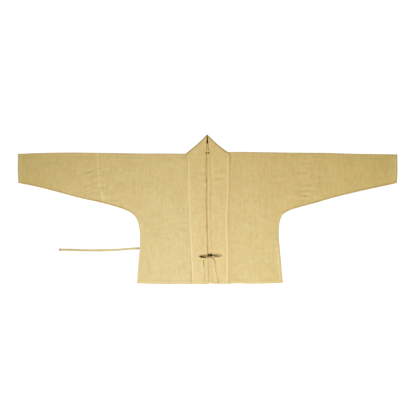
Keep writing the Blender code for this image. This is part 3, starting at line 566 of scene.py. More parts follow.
def back(side, out, up):
    """Heights of the back's top and underside and its tones. Its underside lies on the floor and lifts a
    little under each crease, and the centre seam's allowance lies pressed open on its top. Where the opening
    shows it, painted shade runs along each band's edge, and two spots of painted shade flank the back neck
    seam."""
    out, up = np.broadcast_arrays(out, up)
    close = 1 - np.exp(-(nearest(panel_edges(side), out, up) / BACK_FLAT_EDGE) ** 2)
    turned, ridge, hem_up, cuff, _, seam = turnings(side, out, up)
    under = np.clip(close * creases(BACK, side, out, up), 0, 0.8)
    allowance = ramp(out, RIDGE)
    top = under + WALL + PLY * turned + 0.35 * np.maximum(allowance, ridge)
    line = deepest(0.6 * bell(hem_up - HEM - 1, 1.6), 0.5 * bell(cuff - CUFF - 1, 1.6),
                   0.6 * bell(seam, 1.4), 0.6 * bell(out, 1.2))
    x = side * out
    # Painted shade along the bands' free edges, uneven along the right one, and at the spots beside the neck
    # seam
    uneven = (0.5 + 0.1 * np.sin(up / 7.3 + 1) + 0.1 * np.sin(up / 17.1)) * (1 - 0.4 * ramp(up, -232, 10))
    painted_shade = deepest(uneven * bell(x + band_edge(RIGHT, up) - 1.0, 3.6),
                      0.22 * bell(x - band_edge(LEFT, up), 3.0), pit_shade(x, up))
    return top, under, deepest(0.55 * turned, ridge, 0.2 * allowance), line, np.minimum(painted_shade, 1)


def turn_points(edge, normal, top, low, radius, wall):
    """Sections of a fold from the upper layer to the lower: outer and inner half circles, flattened to the
    layers' heights. edge holds the points (out, up) where the layers end, one radius short of the fold."""
    angle = math.pi * np.arange(1, TURN_STEPS + 1)[:, None, None] / (TURN_STEPS + 1)
    reach, drop = np.sin(angle), np.cos(angle)
    outer = np.concatenate([edge + normal * radius * reach, top / 2 * (1 + drop)], axis=-1)
    inner = np.concatenate([edge + normal * (radius - wall) * reach,
                            (low + wall) / 2 + (low - wall) / 2 * drop], axis=-1)
    return outer, inner


class Shell:
    """A cloth shell in the making: pairs of points, one on each face, each pair with its place on the cut
    cloth and its three tones, and the quads between them."""

    def __init__(self):
        self.rows, self.quads, self.count = [], [], 0

    def add(self, outer, inner, place, *tones):
        """Adds pairs of points and returns their numbers in the same arrangement."""
        shape = outer.shape[:-1]
        parts = [outer, inner, place, *(np.broadcast_to(tone, shape)[..., None] for tone in tones)]
        rows = np.concatenate([np.broadcast_to(p, shape + p.shape[-1:]) for p in parts], axis=-1)
        self.rows.append(rows.reshape(-1, rows.shape[-1]))
        numbers = np.arange(self.count, self.count + math.prod(shape)).reshape(shape)
        self.count += numbers.size
        return numbers

    def join(self, numbers):
        """Quads between the neighbouring rows and columns of numbered points."""
        a, b, c, d = numbers[:-1, :-1], numbers[1:, :-1], numbers[1:, 1:], numbers[:-1, 1:]
        self.quads.append(np.stack([a, b, c, d], axis=-1).reshape(-1, 4))

    def make(self, name, side, material, node):
        """The closed shell: both faces, and a rim wherever a quad's edge has no neighbour."""
        rows, quads = np.concatenate(self.rows), np.concatenate(self.quads)
        edges = np.stack([quads, np.roll(quads, -1, axis=1)], axis=-1).reshape(-1, 2)
        _, index, uses = np.unique(np.sort(edges, axis=1), axis=0, return_index=True, return_counts=True)
        a, b = edges[index[uses == 1]].T
        rim = np.stack([b, a, a + len(rows), b + len(rows)], axis=1)
        faces = np.concatenate([quads, quads[:, ::-1] + len(rows), rim])
        points = np.concatenate([rows[:, 0:3], rows[:, 3:6]]) * [side, 1, 1]
        tones = np.tile(rows[:, 8:], (2, 1))
        return piece(name, points, faces.tolist(), material, node, np.tile(rows[:, 6:8], (2, 1)), tones)


def piece(name, points, faces, material, node, place, tones):
    """A named closed mesh from points in millimetres, with its cloth map and tones, standing for a node."""
    mesh = bpy.data.meshes.new(name)
    mesh.from_pydata((points * MM).tolist(), [], faces)
    work = bmesh.new()
    work.from_mesh(mesh)
    bmesh.ops.recalc_face_normals(work, faces=work.faces)
    work.to_mesh(mesh)
    work.free()
    mesh.shade_smooth()
    mesh.set_sharp_from_angle(angle=math.radians(SHARP))
    corner = np.empty(len(mesh.loops), dtype=np.int32)
    mesh.loops.foreach_get("vertex_index", corner)
    place = np.asarray(place, dtype=np.float32)[corner] * np.float32(MM)
    mesh.uv_layers.new(name=UV).uv.foreach_set("vector", place.ravel())
    for label, values in zip(TONES, np.asarray(tones, dtype=np.float32).T):
        mesh.attributes.new(label, "FLOAT", "POINT").data.foreach_set("value", np.ascontiguousarray(values))
    mesh.materials.append(material)
    item = bpy.data.objects.new(name, mesh)
    bpy.context.collection.objects.link(item)
    if node:
        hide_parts(node)
    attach(item, "root")
    return item


def seam_heights(side):
    """Heights of the rows at the band's seam, from the shoulder to the armpit row and on to the hem."""
    points, _, corner = inset_outline(side)
    top = float(shoulder(side, BAND_LINE[side][0][1])) - TURN
    upper = fractions(top - points[corner, 1], PITCH, start=(1.2, 2.8))
    bottom = float(hem(side, band_seam(side, -354)))
    lower = fractions(points[corner, 1] - bottom, PITCH, end=turning_steps(HEM))
    return (top - upper * (top - points[corner, 1]), points[corner, 1] - lower * (points[corner, 1] - bottom),
            upper, lower)


def read_seam(keys, values, normal, at):
    """Values and outward directions along the inset outline, read at given keys."""
    value, x, y = (np.interp(at, keys, column) for column in (values, *normal.T))
    return value, unit(np.stack([x, y], axis=-1))


def underarm_row(side, out):
    """The inset underarm seam's height and outward direction at given places, out of the armpit."""
    points, normal, corner = inset_outline(side)
    x, y = points[corner::-1].T
    return read_seam(x, y, normal[corner::-1], out)


def side_column(side, up):
    """The inset side seam's place and outward direction at given heights, below the armpit."""
    points, normal, corner = inset_outline(side)
    x, y = points[corner:][::-1].T
    return read_seam(y, x, normal[corner:][::-1], up)


def front_grid(side):
    """Points (out, up) of the front panel: the rows above the armpit, then those below it."""
    points, _, corner = inset_outline(side)
    corner_x, corner_y = points[corner]
    _, _, upper, lower = seam_heights(side)
    body = fractions(corner_x - float(band_seam(side, 100)), PITCH, start=SEAM_STEPS, end=(VENT + STEP, VENT))
    length = float(seam_x(side, SLEEVE_UP)) - corner_x
    arm = fractions(length, PITCH, end=turning_steps(RIDGE))

    y = np.broadcast_to(corner_y + (1 - upper[:, None]) * 290, (len(upper), len(body) + len(arm) - 1)).copy()
    for _ in range(SETTLE):
        inner = band_seam(side, y[:, :1]) + SEAM / 2
        reach = seam_x(side, y[:, -1]) - SEAM / 2 - corner_x
        arm_x = corner_x + reach[:, None] * near(reach, arm, length, RIDGE + STEP)
        x = np.concatenate([inner + (corner_x - inner) * body, arm_x[:, 1:]], axis=1)
        top = shoulder(side, x) - TURN
        bottom = np.where(x > corner_x, underarm_row(side, x)[0], corner_y)
        y = top + (bottom - top) * upper[:, None]
    block_top = np.stack([x, y], axis=-1)

    low_y = np.broadcast_to(corner_y + (HEM_UP - corner_y) * lower[:, None], (len(lower), len(body))).copy()
    for _ in range(SETTLE_LOW):
        inner = band_seam(side, low_y[:, :1]) + SEAM / 2
        outer = side_column(side, low_y[:, -1])[0][:, None]
        low_x = inner + (outer - inner) * body
        drop = corner_y - hem(side, low_x)
        low_y = corner_y - drop * own_place(near(drop, lower, corner_y - hem(side, 80), HEM + STEP))
    return block_top, np.stack([low_x, low_y], axis=-1), len(body)


def back_hem(side, out):
    """The back's hem, a little shorter behind the opening."""
    return hem(side, out) + BACK_HEM_LIFT * np.exp(-(np.asarray(out) / BACK_LIFT_WIDTH) ** 2)


def back_grid(side, block_top, block_low, body_count):
    """Points of the back: the front's places from the neck corner outwards, and columns behind the collar."""
    corner_y = block_top[-1, body_count - 1, 1]
    first = block_top[0, 0, 0]
    neck = first * fractions(first, PITCH * 1.3, start=(1.2, 3.4, 5.4, RIDGE, RIDGE + STEP))[:-1] + SEAM / 2
    upper = (block_top[0, :1, 1] - block_top[:, 0, 1]) / (block_top[0, 0, 1] - block_top[-1, 0, 1])
    x = np.r_[neck, block_top[0, :body_count, 0]]
    top = np.r_[np.interp(neck, [0, first], [BACK_NECK_UP, block_top[0, 0, 1]]), block_top[0, :body_count, 1]]
    torso_y = top + (corner_y - top) * upper[:, None]
    torso = np.stack([np.broadcast_to(x, torso_y.shape), torso_y], axis=-1)
    torso[:, -1] = block_top[:, body_count - 1]
    low_side = block_low[:, -1, 0]
    low_x = x[0] + (low_side[:, None] - x[0]) * (x - x[0]) / (x[-1] - x[0])
    drop = corner_y - block_low[:, -1, 1]
    low_y = corner_y + (back_hem(side, low_x) - corner_y) * (drop / drop[-1])[:, None]
    low_y[:, -1] = block_low[:, -1, 1]
    return torso, np.stack([low_x, low_y], axis=-1), len(neck)


def upper_layer(side, grid):
    """Outer and inner points of the front from its places, its place on the cut cloth, and its tones."""
    out, up = grid[..., 0], grid[..., 1]
    top, under, *tones = front(side, out, up)
    place = np.stack([side * out, up - shoulder(side, out)], axis=-1)
    return raised(grid, top), raised(grid, under), place, *tones


def lower_layer(side, grid):
    """The same of the back, whose outer points are its underside."""
    out, up = grid[..., 0], grid[..., 1]
    top, under, *tones = back(side, out, up)
    place = np.stack([side * out, shoulder(side, out) - up], axis=-1)
    return raised(grid, under), raised(grid, top), place, *tones


def fold(shell, upper_numbers, lower_numbers, upper, normal, radius=TURN, wall=WALL, rim=0.1):
    """Joins the ends of two layers by a half-round fold, whose rim gets so much painted shade, in the
    stitched and in the shade tone.
    """
    outer, inner, place, ply, *_ = upper
    points = turn_points(outer[:, :2], normal, outer[:, 2:], inner[:, 2:], radius, wall)
    between = shell.add(*points, place, ply, rim, rim)
    shell.join(np.vstack([upper_numbers[None], between, lower_numbers[None]]))


def body_half(side, material):
    """One loom width of cloth over the shoulder: half the front, half the back and the upper sleeve."""
    shell = Shell()
    top, low, body_count = front_grid(side)
    front_top, front_low = upper_layer(side, top), upper_layer(side, low)
    back_top, back_low, neck_count = back_grid(side, top, low, body_count)

    top_ids = shell.add(*front_top)
    low_ids = np.vstack([top_ids[-1:, :body_count], shell.add(*(part[1:] for part in front_low))])
    shell.join(top_ids)
    shell.join(low_ids)

    back_ids = shell.add(*lower_layer(side, np.concatenate([back_top, top[:, body_count:]], axis=1)))
    torso_count = neck_count + body_count
    low_layer = lower_layer(side, back_low)
    back_low_ids = np.vstack([back_ids[-1:, :torso_count], shell.add(*(part[1:] for part in low_layer))])
    shell.join(back_ids)
    shell.join(back_low_ids)

    upward = np.tile([0.0, 1.0], (top.shape[1], 1))
    fold(shell, top_ids[0], back_ids[0, neck_count:], [part[0] for part in front_top], upward, rim=0.3)
    side_ids = np.r_[top_ids[-1, body_count - 1:][::-1], low_ids[1:, -1]]
    side_back = np.r_[back_ids[-1, torso_count - 1:][::-1], back_low_ids[1:, -1]]
    ends = [np.concatenate([a[-1, body_count - 1:][::-1], b[1:, -1]]) for a, b in zip(front_top, front_low)]
    arm_normal = underarm_row(side, top[-1, body_count - 1:, 0])[1][::-1]
    side_normal = side_column(side, low[1:, -1, 1])[1]
    fold(shell, side_ids, side_back, ends, np.concatenate([arm_normal, side_normal]))
    wearer = WEARER[side]
    item = shell.make(f"{wearer}_body_cloth", side, material, f"body_{wearer}")
    return item


def sleeve(side, material):
    """The sleeve's outer length: rings from the sleeve seam to the cuff, each flattened front on back."""
    _, _, upper, _ = seam_heights(side)
    length = CUFF_OUT - float(seam_x(side, SLEEVE_UP))
    places = fractions(length, PITCH, start=SEAM_STEPS, end=turning_steps(CUFF))
    y = np.broadcast_to(260 - 150 * upper, (len(places), len(upper))).copy()
    for _ in range(SETTLE):
        start = seam_x(side, y) + SEAM / 2
        reach = smooth(CUFF_LINE, y) - start
        x = start + reach * own_place(near(reach, places, length, CUFF + STEP))
        top = shoulder(side, x) - TURN
        y = top + (underarm_row(side, x)[0] - top) * upper
    grid = np.stack([x, y], axis=-1)
    shell = Shell()
    upper_part = upper_layer(side, grid)
    front_ids, back_ids = shell.add(*upper_part), shell.add(*lower_layer(side, grid))
    shell.join(front_ids)
    shell.join(back_ids)
    upward = np.tile([0.0, 1.0], (len(places), 1))
    fold(shell, front_ids[:, 0], back_ids[:, 0], [part[:, 0] for part in upper_part], upward, rim=0.3)
    downward = underarm_row(side, grid[:, -1, 0])[1]
    fold(shell, front_ids[:, -1], back_ids[:, -1], [part[:, -1] for part in upper_part], downward)
    wearer = WEARER[side]
    item = shell.make(f"{wearer}_sleeve_cloth", side, material, f"sleeve_{wearer}")
    return item


def slope(side):
    """The slanting edge's straight line: its lower and upper end (out, up) and the direction out of it."""
    corner, peak = np.array(NECK_CORNER[side]), np.array(PEAK[side])
    slant = (peak - corner) / np.linalg.norm(peak - corner)
    normal = np.array([slant[1], -slant[0]])
    return corner, peak, normal if normal[1] > 0 else -normal


def slope_dip(side, out):
    """How far the slanting edge lies inside its straight line: its depth times the sine of pi times a
    power of the share of the way from the neck corner to the peak."""
    corner, peak, _ = slope(side)
    share = np.clip((corner[0] - out) / (corner[0] - peak[0]), 0, 1)
    depth, power = SLOPE_DIP[side]
    return depth * np.sin(math.pi * share**power)


def bow_shade(x, up):
    """Painted shade on the band inside the bow's loops, round its knot and along the tails' right edges,
    where it is deepest at their bends."""
    shade = deepest(*(depth * oval(x, up, *place) for *place, depth in BOW_HOLLOWS))
    for side, (bend, straight) in TAIL_BEND.items():
        path = route([row[:2] for row in TAILS[side]], 90)
        beside = path + left_of(path) * (TAPE / 2 + 0.5)
        low = path[:, 1] < bend
        for part, depth, width in ((low, 0.45, 1.7), (low & (path[:, 1] > straight), 0.75, 3.2)):
            shade = np.maximum(shade, depth * bell(nearest(beside[part], x, up), width))
    return shade


def band_top(side, out, up, distance, width, normal):
    """Height of the band's top and its tones: folded double, with the seam's allowance raised inside its
    outer edge, its own creases and a pucker along the free edge, a painted highlight beside it near the peak,
    and painted shade along it, towards the slanting edge, which faces the given way, and under the bow."""
    x, free = side * out, width - distance
    ridge = ramp(distance, RIDGE)
    fine = BAND_GAIN * creases(BAND_CREASES, side, out, up) + 0.5 * slack(-side, out, up)
    fine += 0.14 * pucker(up, distance - RIDGE, 6, 2.6 * side) + 0.22 * pucker(up, free, 9, 1.7 * side)
    top = BAND_Z + BAND + RISE * ridge + np.clip(fine, -0.9, 1.9) * (1 - np.exp(-(distance / 6) ** 2))
    slanting = (np.array(NECK_CORNER[side]) - np.stack([out, up], axis=-1)) @ normal - slope_dip(side, out)
    # Stitched tone, also used as painted shade along the slanting edge and inside the right loop of the bow
    line = deepest(stripe(distance, 0.15, RIDGE + 1.4, 1.6), 0.15 * bell(distance, 1.0),
                   stripe(slanting, 0.85, 1.5, 4.8), oval(x, up, -14, -222.0, 19, 4.6))
    # Painted shade along the free edge, deepest and widest near the peak, and towards the slanting edge
    peak = 1 - ramp(up, 300, 12)
    edge = (0.3 + 0.6 * peak - 0.1 * ramp(up, -240, 10)) * bell(free, 1.6 + EDGE_SPREAD[side] * peak)
    painted_shade = deepest(bow_shade(x, up), edge, stripe(slanting, 0.25, 1.5, 4.5), pit_shade(x, up))
    ply = ridge * (0.88 if side == LEFT else 0.35 + 0.5 * ramp(up, 226, 18))
    # A painted highlight beside the free edge near the peak
    ply = ply + BAND_HIGHLIGHT[side] * (1 - ramp(up, 285, 15)) * bell(free - 5.6, 2.2)
    return top - 0.3 * bell(distance, 0.9) - 1.2 * roll(free), ply, line, painted_shade


def collar_front(side):
    """The band on one front, from the hem up to its slanting edge: points (stations, across, 2), the
    direction out of that edge, each point's distance from the seam, and the width at each station."""
    upper, lower, _, _ = seam_heights(side)
    rows = np.r_[upper, lower[1:]]
    low, high, _ = BOW_ROWS
    heights = np.sort(np.r_[rows[(rows < low - 1) | (rows > high + 0.5)], np.arange(*BOW_ROWS)])
    corner, peak, normal = slope(side)
    seam_end = np.c_[band_seam(side, heights) - SEAM / 2, heights]
    free_end = np.c_[band_edge(side, heights), heights]
    rise = np.linspace(0, 1, PEAK_ROWS)[1:, None]
    ends = [np.concatenate([end, end[-1] + (last - normal * BAND_TURN - end[-1]) * rise])
            for end, last in ((seam_end, corner), (free_end, peak))]
    width = np.linalg.norm(ends[1] - ends[0], axis=1)
    across = fractions(BAND_WIDTH, PITCH, start=(0.2, 0.5, 1.1, *np.arange(2.2, 58, 1.7)),
                       end=turning_steps(RIDGE))
    places = 1 - near(width, across, BAND_WIDTH, RIDGE + STEP)[:, ::-1]
    line = ends[0][:, None] + (ends[1] - ends[0])[:, None] * places[..., None]
    curve = np.r_[np.zeros(len(heights)), rise[:, 0]][:, None] * slope_dip(side, line[-1, :, 0])
    line -= curve[..., None] * normal
    return line, normal, places * width[:, None], width[:, None]


def slit_shade(x, up):
    """Painted shade on the back neck between the bands' edges: full near the peak, where they close over it,
    in a wedge that points down, and below that only along both edges."""
    start = NECK_CORNER[RIGHT][1]
    rise = np.clip((up - start) / (PEAK_TOP - start), 0, 1)
    edges = [side * (BAND_LINE[side][0][2] * (1 - rise) + PEAK[side][0] * rise) for side in (RIGHT, LEFT)]
    middle, half = (edges[0] + edges[1]) / 2, (edges[1] - edges[0]) / 2
    open_half = (half + 1) * np.clip((up - 302) / 30, 0, 1)
    wedge = ramp(np.abs(x - middle), open_half, 1.2) * (1 - ramp(up, 304, 12))
    beside = deepest(*(bell(x - edge, 3.0) for edge in edges))
    return deepest(wedge, (0.75 + 0.1 * rise) * (1 - ramp(up, 272, 12)) * beside, pit_shade(x, up))


def collar(material):
    """One strip: up a front, over the slanting edge, along the back neck, and down the other front. Its
    threads run straight up each front and along the back neck."""
    shell = Shell()
    backs = {}
    for side in (RIGHT, LEFT):
        line, normal, distance, width = collar_front(side)
        top, ply, tone, painted_shade = band_top(side, line[..., 0], line[..., 1], distance, width, normal)
        tone = np.maximum(tone, 0.2 * bell(line[..., 1] - hem(side, line[..., 0]) - HEM, 1.6))
        signed = line * [side, 1]
        under = BAND_Z + 0.9 * roll(width - distance)
        upper = raised(signed, top), raised(signed, under), signed + BAND_CUT, ply, tone, painted_shade
        front_ids = shell.add(*upper)
        shell.join(front_ids)
        outward = np.tile(normal * [side, 1], (line.shape[1], 1))
        middle = np.array([[BACK_NECK_X, BACK_NECK_UP - 0.4], [BACK_NECK_X, PEAK_TOP - 0.3]])
        first = signed[-1]
        last = middle[0] + (middle[1] - middle[0]) * ((first - first[0])[:, 1:] / (first[-1] - first[0])[1])
        flat = first + (last - first) * (1 - (1 - np.linspace(0, 1, NECK_ROWS)) ** 1.4)[:, None, None]
        thick = np.broadcast_to(BAND + RISE * ramp(distance[-1], RIDGE), flat.shape[:-1])
        backs[side] = shell.add(raised(flat, 0 * thick), raised(flat, thick), flat[..., ::-1] + BAND_CUT,
                                ply[-1], 0.5 * bell(distance[-1] - RIDGE, 2),
                                slit_shade(flat[..., 0], flat[..., 1]))
        edge = [part[-1] for part in upper]
        # The fold round the slanting edge gets painted shade along its rim
        fold(shell, front_ids[-1], backs[side][0], edge, outward, BAND_TURN, BAND, 0.5)
        shell.join(backs[side] if side == RIGHT else np.vstack([backs[LEFT][:-1], backs[RIGHT][-1:]]))
    item = shell.make("collar_band", 1, material, "collar")
    return item


def squared(values, power):
    """A circle's sines or cosines raised to a power below 1, which squares it off."""
    return np.sign(values) * np.abs(values) ** power


def around(count):
    """Angles of evenly spaced points round a ring."""
    return np.linspace(0, 2 * math.pi, count, endpoint=False)


def ring_quads(rings, ring):
    """Quads between neighbouring rings of so many points."""
    i, k = np.meshgrid(np.arange(rings - 1), np.arange(ring), indexing="ij")
    a, b = i * ring + k, i * ring + (k + 1) % ring
    return np.stack([a, b, b + ring, a + ring], axis=-1).reshape(-1, 4)


def tube_faces(rings, ring):
    """The quads of a tube and a fan at each end, round two points numbered after the rings'."""
    k, last, tip = np.arange(ring), (rings - 1) * ring, np.full(ring, rings * ring)
    n = (k + 1) % ring
    return (ring_quads(rings, ring).tolist() + np.stack([n, k, tip], axis=1).tolist()
            + np.stack([k + last, n + last, tip + 1], axis=1).tolist())


def ribbon(name, path, width, thick, lean, material, node, tone=None, shade=None):
    """A flat tube of cloth along a path: at each station a rounded flat section, its width direction leaning
    from upright by an angle, closed by a cap at both ends. A seam runs down one edge. tone and shade give
    more of the stitched tone and of painted shade from the place along it, the place across and the side."""
    count = len(path)
    along = headings(path)
    upright = unit(np.array([0.0, 0.0, 1.0]) - along * along[:, 2:])
    sideways = np.cross(along, upright)
    lean = np.radians(np.broadcast_to(lean, count))[:, None]
    across = np.cos(lean) * upright + np.sin(lean) * sideways
    through = np.cross(along, across)
    turn = around(TAPE_RING)
    flat, s = squared(np.cos(turn), 0.55), np.sin(turn)
    bulge = squared(s, 0.8) * (1 - 0.22 * bell(flat - 0.72, 0.14))
    half_width, half_thick = (np.broadcast_to(size, count)[:, None, None] / 2 for size in (width, thick))
    rings = (path[:, None] + across[:, None] * half_width * flat[:, None]
             + through[:, None] * half_thick * bulge[:, None])
    points = np.concatenate([rings.reshape(-1, 3), path[:1] - along[:1] * TIP, path[-1:] + along[-1:] * TIP])
    distance = travelled(path)[:, None]
    share = distance / distance[-1]
    line = np.broadcast_to(0.2 * bell(flat - 0.72, 0.12), (count, TAPE_RING))
    if tone is not None:
        line = np.clip(line + tone(share, flat, s), 0, 1)
    painted_shade = np.zeros((count, TAPE_RING)) if shade is None else np.clip(shade(share, flat, s), 0, 1)
    place = np.stack(np.broadcast_arrays(flat * TAPE / 2 + TAPE_CUT + SEAM_CUT * (s > 0), distance), axis=-1)
    place = place.reshape(-1, 2)
    place = np.concatenate([place, place[:1], place[-1:]])
    line, painted_shade = np.r_[line.ravel(), 0.5, 0.5], np.r_[painted_shade.ravel(), 0.3, 0.3]
    return piece(name, points, tube_faces(count, TAPE_RING), material, node, place,
                 np.c_[0 * line, line, painted_shade])


def flat_tape(points, base, count):
    """Stations of a tape that lies on a surface, from route rows of x, y and rise."""
    return route([(x, y, base + sum(rest)) for x, y, *rest in points], count)


def side_tie(material):
    """The long tie sewn into the wearer's right side seam: a soft rolled tape with a turned end."""
    path = flat_tape(TIE_SIDE, FLOOR_LIFT, 210)
    t = np.linspace(0, 1, len(path))
    end = ramp(1 - t, 0.022, 0.006)
    width = TAPE * (1.07 + 0.04 * np.sin(t * 17 + 0.6) + 0.02 * np.sin(t * 41)) + 1.2 * end
    width -= 1.5 * ramp(t, 0.0, 0.03)
    thick = 1.6 + 0.2 * np.sin(t * 23) + 0.4 * end
    lean = 4 * np.sin(t * 9 + 1) + 3 * np.sin(t * 31)
    path[:, 2] += thick / 2 + np.abs(np.sin(np.radians(lean))) * width / 2

    def tone(share, flat, s):
        """The turned end, the seam that it is sewn into, and painted shade over its lower half."""
        ends = 0.5 * ramp(1 - share, 0.022, 0.006) + 0.6 * bell(share, 0.03)
        return ends + 0.04 + 0.35 * np.clip(0.1 - flat, 0, 1)

    item = ribbon("side_tie_tape", path, width, thick, 90 + lean, material, "tie_side", tone)
    return item


def loop(side, material):
    """One loop of the bow: a tape on its edge, out from the knot and back, pinched where it enters it."""
    over, under, twist, sign, inner, deep, shade_all_over = LOOP_LOOK[side]
    count = LOOP_STATIONS[side]
    path = route([(x, y, LOOP_Z) for x, y in LOOPS[side]], count)
    t = np.linspace(0, 1, count)
    pinch = np.maximum(bell(t, 0.12), bell(1 - t, 0.12))
    path[:, 2] -= 1.4 * pinch
    width = TAPE - 0.4 - 3.0 * pinch
    inward = over * ramp(t, twist, 0.14) - under * (1 - ramp(t, twist + 0.1, 0.12)) * ramp(t, 0.88, 0.1)
    lean = sign * inward * (1 - pinch)
    path[:, 2] -= width / 2 * (1 - np.cos(np.radians(lean)))
    thick = 1.1 + 0.8 * pinch + 0.2 * np.sin(t * 19)

    def shade(share, flat, s):
        """Painted shade within the loop's lower strand and where both strands run into the knot."""
        within = np.clip(inner * s, 0, 1) ** 0.5 * ramp(flat, 0.8, 0.2)
        ends = np.maximum(bell(share, 0.05), bell(1 - share, 0.05))
        return np.maximum(within * (shade_all_over + deep * ramp(np.abs(share - 0.8), 0.25, 0.08)), 0.9 * ends)

    def tone(share, flat, s):
        """Painted shade in the stitched tone inside the far end of the left loop."""
        return 0.5 * np.clip(inner * s, 0, 1) ** 0.5 * bell(share - 0.7, 0.12) * (side == LEFT)

    wearer = WEARER[side]
    return ribbon(f"bow_loop_{wearer}", path, width, thick, lean, material, f"tie_loop_{wearer}", tone, shade)


def tail(side, material):
    """One tail of the bow: a tape that comes out of the knot and lies down on the band."""
    count = TAIL_STATIONS[side]
    path = flat_tape(TAILS[side], TAIL_Z + TAIL_LIFT, count)
    t = np.linspace(0, 1, count)
    width = TAPE - 2.6 * bell(t, 0.1) + 0.3 * np.sin(t * 21)
    lift = 10 * bell(t - 0.1, 0.2) + 7 * np.sin(t * 11 + 1)
    thick = 1.5 + 0.9 * bell(t, 0.1) + 0.2 * np.sin(t * 17)
    path[:, 2] += np.abs(np.sin(np.radians(lift))) * width / 2

    def tone(share, flat, s):
        """The turned end, and painted shade where it comes out of the knot and along one edge."""
        ends = TAIL_END[side] * ramp(1 - share, 0.03, 0.02) + 0.9 * bell(share, 0.09)
        return ends + 0.3 * np.clip(-flat, 0, 1) ** 4

    wearer = WEARER[side]
    item = ribbon(f"bow_tail_{wearer}", path, width, thick, 90 + lift, material, f"tie_tail_{wearer}", tone)


def knot(material):
    """The knot: rounded rings along it from its rows, with the soft folds of a wrapped tape worked into them,
    and the two roots that are sewn to the bands' free edges."""
    rows = np.array(KNOT)
    fine = np.linspace(0, len(rows) - 1, 8 * (len(rows) - 1) + 1)
    x, y, z, depth, height = (np.interp(fine, np.arange(len(rows)), column)[:, None] for column in rows.T)
    turn = around(KNOT_RING)
    lump = ramp(np.abs(x - KNOT_X), 5.4, 1.6)
    wrap = ramp(np.abs(x - KNOT_X - 1.4 * np.sin(turn)), 2.6, 1.1) * lump
    folds = 1 + lump * (0.05 * np.sin(3 * turn + x / 2.3) + 0.03 * np.sin(7 * turn - x / 1.7))
    folds = folds - 0.09 * (lump - wrap)
    north = y + depth / 2 * squared(np.cos(turn), 0.75) * folds
    high = z + height / 2 * squared(np.sin(turn), 0.75) * folds
    rings = np.stack(np.broadcast_arrays(x, north, high), axis=-1)
    points = np.concatenate([rings.reshape(-1, 3), rings[[0, -1]].mean(axis=1)])
    # Painted shade: two dark spots beside the knot, all over its lump, deeper on the lump's side towards the
    # hem and on its underside
    knot_shade = np.maximum(oval(x, north, 3.6, -218.9, 3.4, 5.0, 0.55),
                        oval(x, north, 15.8, -217.5, 4.6, 6.2))
    knot_shade = np.maximum(knot_shade + 0.5 * lump + 0.2 * lump * ramp(north + 216.0, 0.0, 3.0),
                        0.8 * bell(x - KNOT_X, 5.0) * ramp(np.sin(turn), -0.2, 0.4))
    knot_shade = np.r_[np.minimum(knot_shade, 1).ravel(), 0.4, 0.4]
    place = np.stack(np.broadcast_arrays(x + KNOT_CUT, y + turn * 5), axis=-1).reshape(-1, 2)
    place = np.concatenate([place, place[:1], place[-1:]])
    return piece("bow_knot", points, tube_faces(len(fine), KNOT_RING), material, "tie_knot",
                 place, np.c_[0 * knot_shade, 0 * knot_shade, knot_shade])


def bow(material):
    """The front ties in a bow: two loops on edge, a wrapped knot and two tails."""
    tied = [loop(RIGHT, material), loop(LEFT, material), knot(material)]
    tail(RIGHT, material)
    tail(LEFT, material)


def stitches(name, rows, material):
    """Hand stitches along lines: each is a short grain of thread, thickest at its middle, lying along its
    line. rows holds for each line the stitches' middles and their directions."""
    middle = np.concatenate([m for m, _ in rows])
    along = unit(np.concatenate([d for _, d in rows]))
    sideways = np.stack([-along[:, 1], along[:, 0], np.zeros(len(along))], axis=1)
    s = np.linspace(-1, 1, 5)
    turn = around(STITCH_RING)
    fat = STITCH_RADIUS * np.sqrt(np.clip(1.04 - s**2, 0.02, None))
    height = fat[:, None] * np.sin(turn) * 0.8 - 0.12 * s[:, None] ** 2
    grain = (middle[:, None, None] + along[:, None, None] * (STITCH_HALF * s)[:, None, None]
             + sideways[:, None, None] * (fat[:, None] * np.cos(turn))[..., None])
    points = (grain + np.array([0, 0, 1.0]) * height[..., None]).reshape(-1, 3)
    each = len(s) * STITCH_RING
    caps = np.array([np.arange(STITCH_RING)[::-1], np.arange(each - STITCH_RING, each)])
    start = np.arange(len(middle))[:, None, None] * each
    faces = (ring_quads(len(s), STITCH_RING) + start).reshape(-1, 4).tolist()
    faces += (caps + start).reshape(-1, STITCH_RING).tolist()
    place = np.repeat(middle[:, :2], each, axis=0)
    return piece(name, points, faces, material, None, place, np.tile([0.6, 0.0, 0.0], (len(points), 1)))


def stitch_line(side, points, spacing):
    """Middles and directions of stitches on the front along a line of points (out, up)."""
    at = route(points, max(3, int(length_of(points) / spacing)))
    direction = np.gradient(at, axis=0) * [side, 1]
    height = front(side, at[:, 0], at[:, 1])[0] + 0.06
    return np.c_[at[:, 0] * side, at[:, 1], height], np.c_[direction, np.zeros(len(at))]


def sewing(material):
    """The hand stitching that shows: along the tops of the hem, cuff and side turnings."""
    for side in (RIGHT, LEFT):
        low = np.linspace(float(band_seam(side, -340)) + 6, float(side_column(side, -340)[0]) - 4, 30)
        cuff_up = np.linspace(130, 256, 14)
        vent_up = np.linspace(-212, -330, 14)
        lines = [np.c_[low, hem(side, low) + HEM - STITCH_INSIDE],
                 np.c_[smooth(CUFF_LINE, cuff_up) - CUFF + STITCH_INSIDE, cuff_up],
                 np.c_[side_column(side, vent_up)[0] + TURN - VENT + STITCH_INSIDE, vent_up]]
        rows = [stitch_line(side, line, gap) for line, gap in zip(lines, STITCH_GAPS)]
        stitches(f"{WEARER[side]}_hand_stitching", rows, material)


def linear(hex_colour):
    """sRGB hex to linear red, green, blue and an alpha of 1."""
    values = [int(hex_colour[i:i + 2], 16) / 255 for i in (0, 2, 4)]
    return [v / 12.92 if v <= 0.04045 else ((v + 0.055) / 1.055) ** 2.4 for v in values] + [1.0]


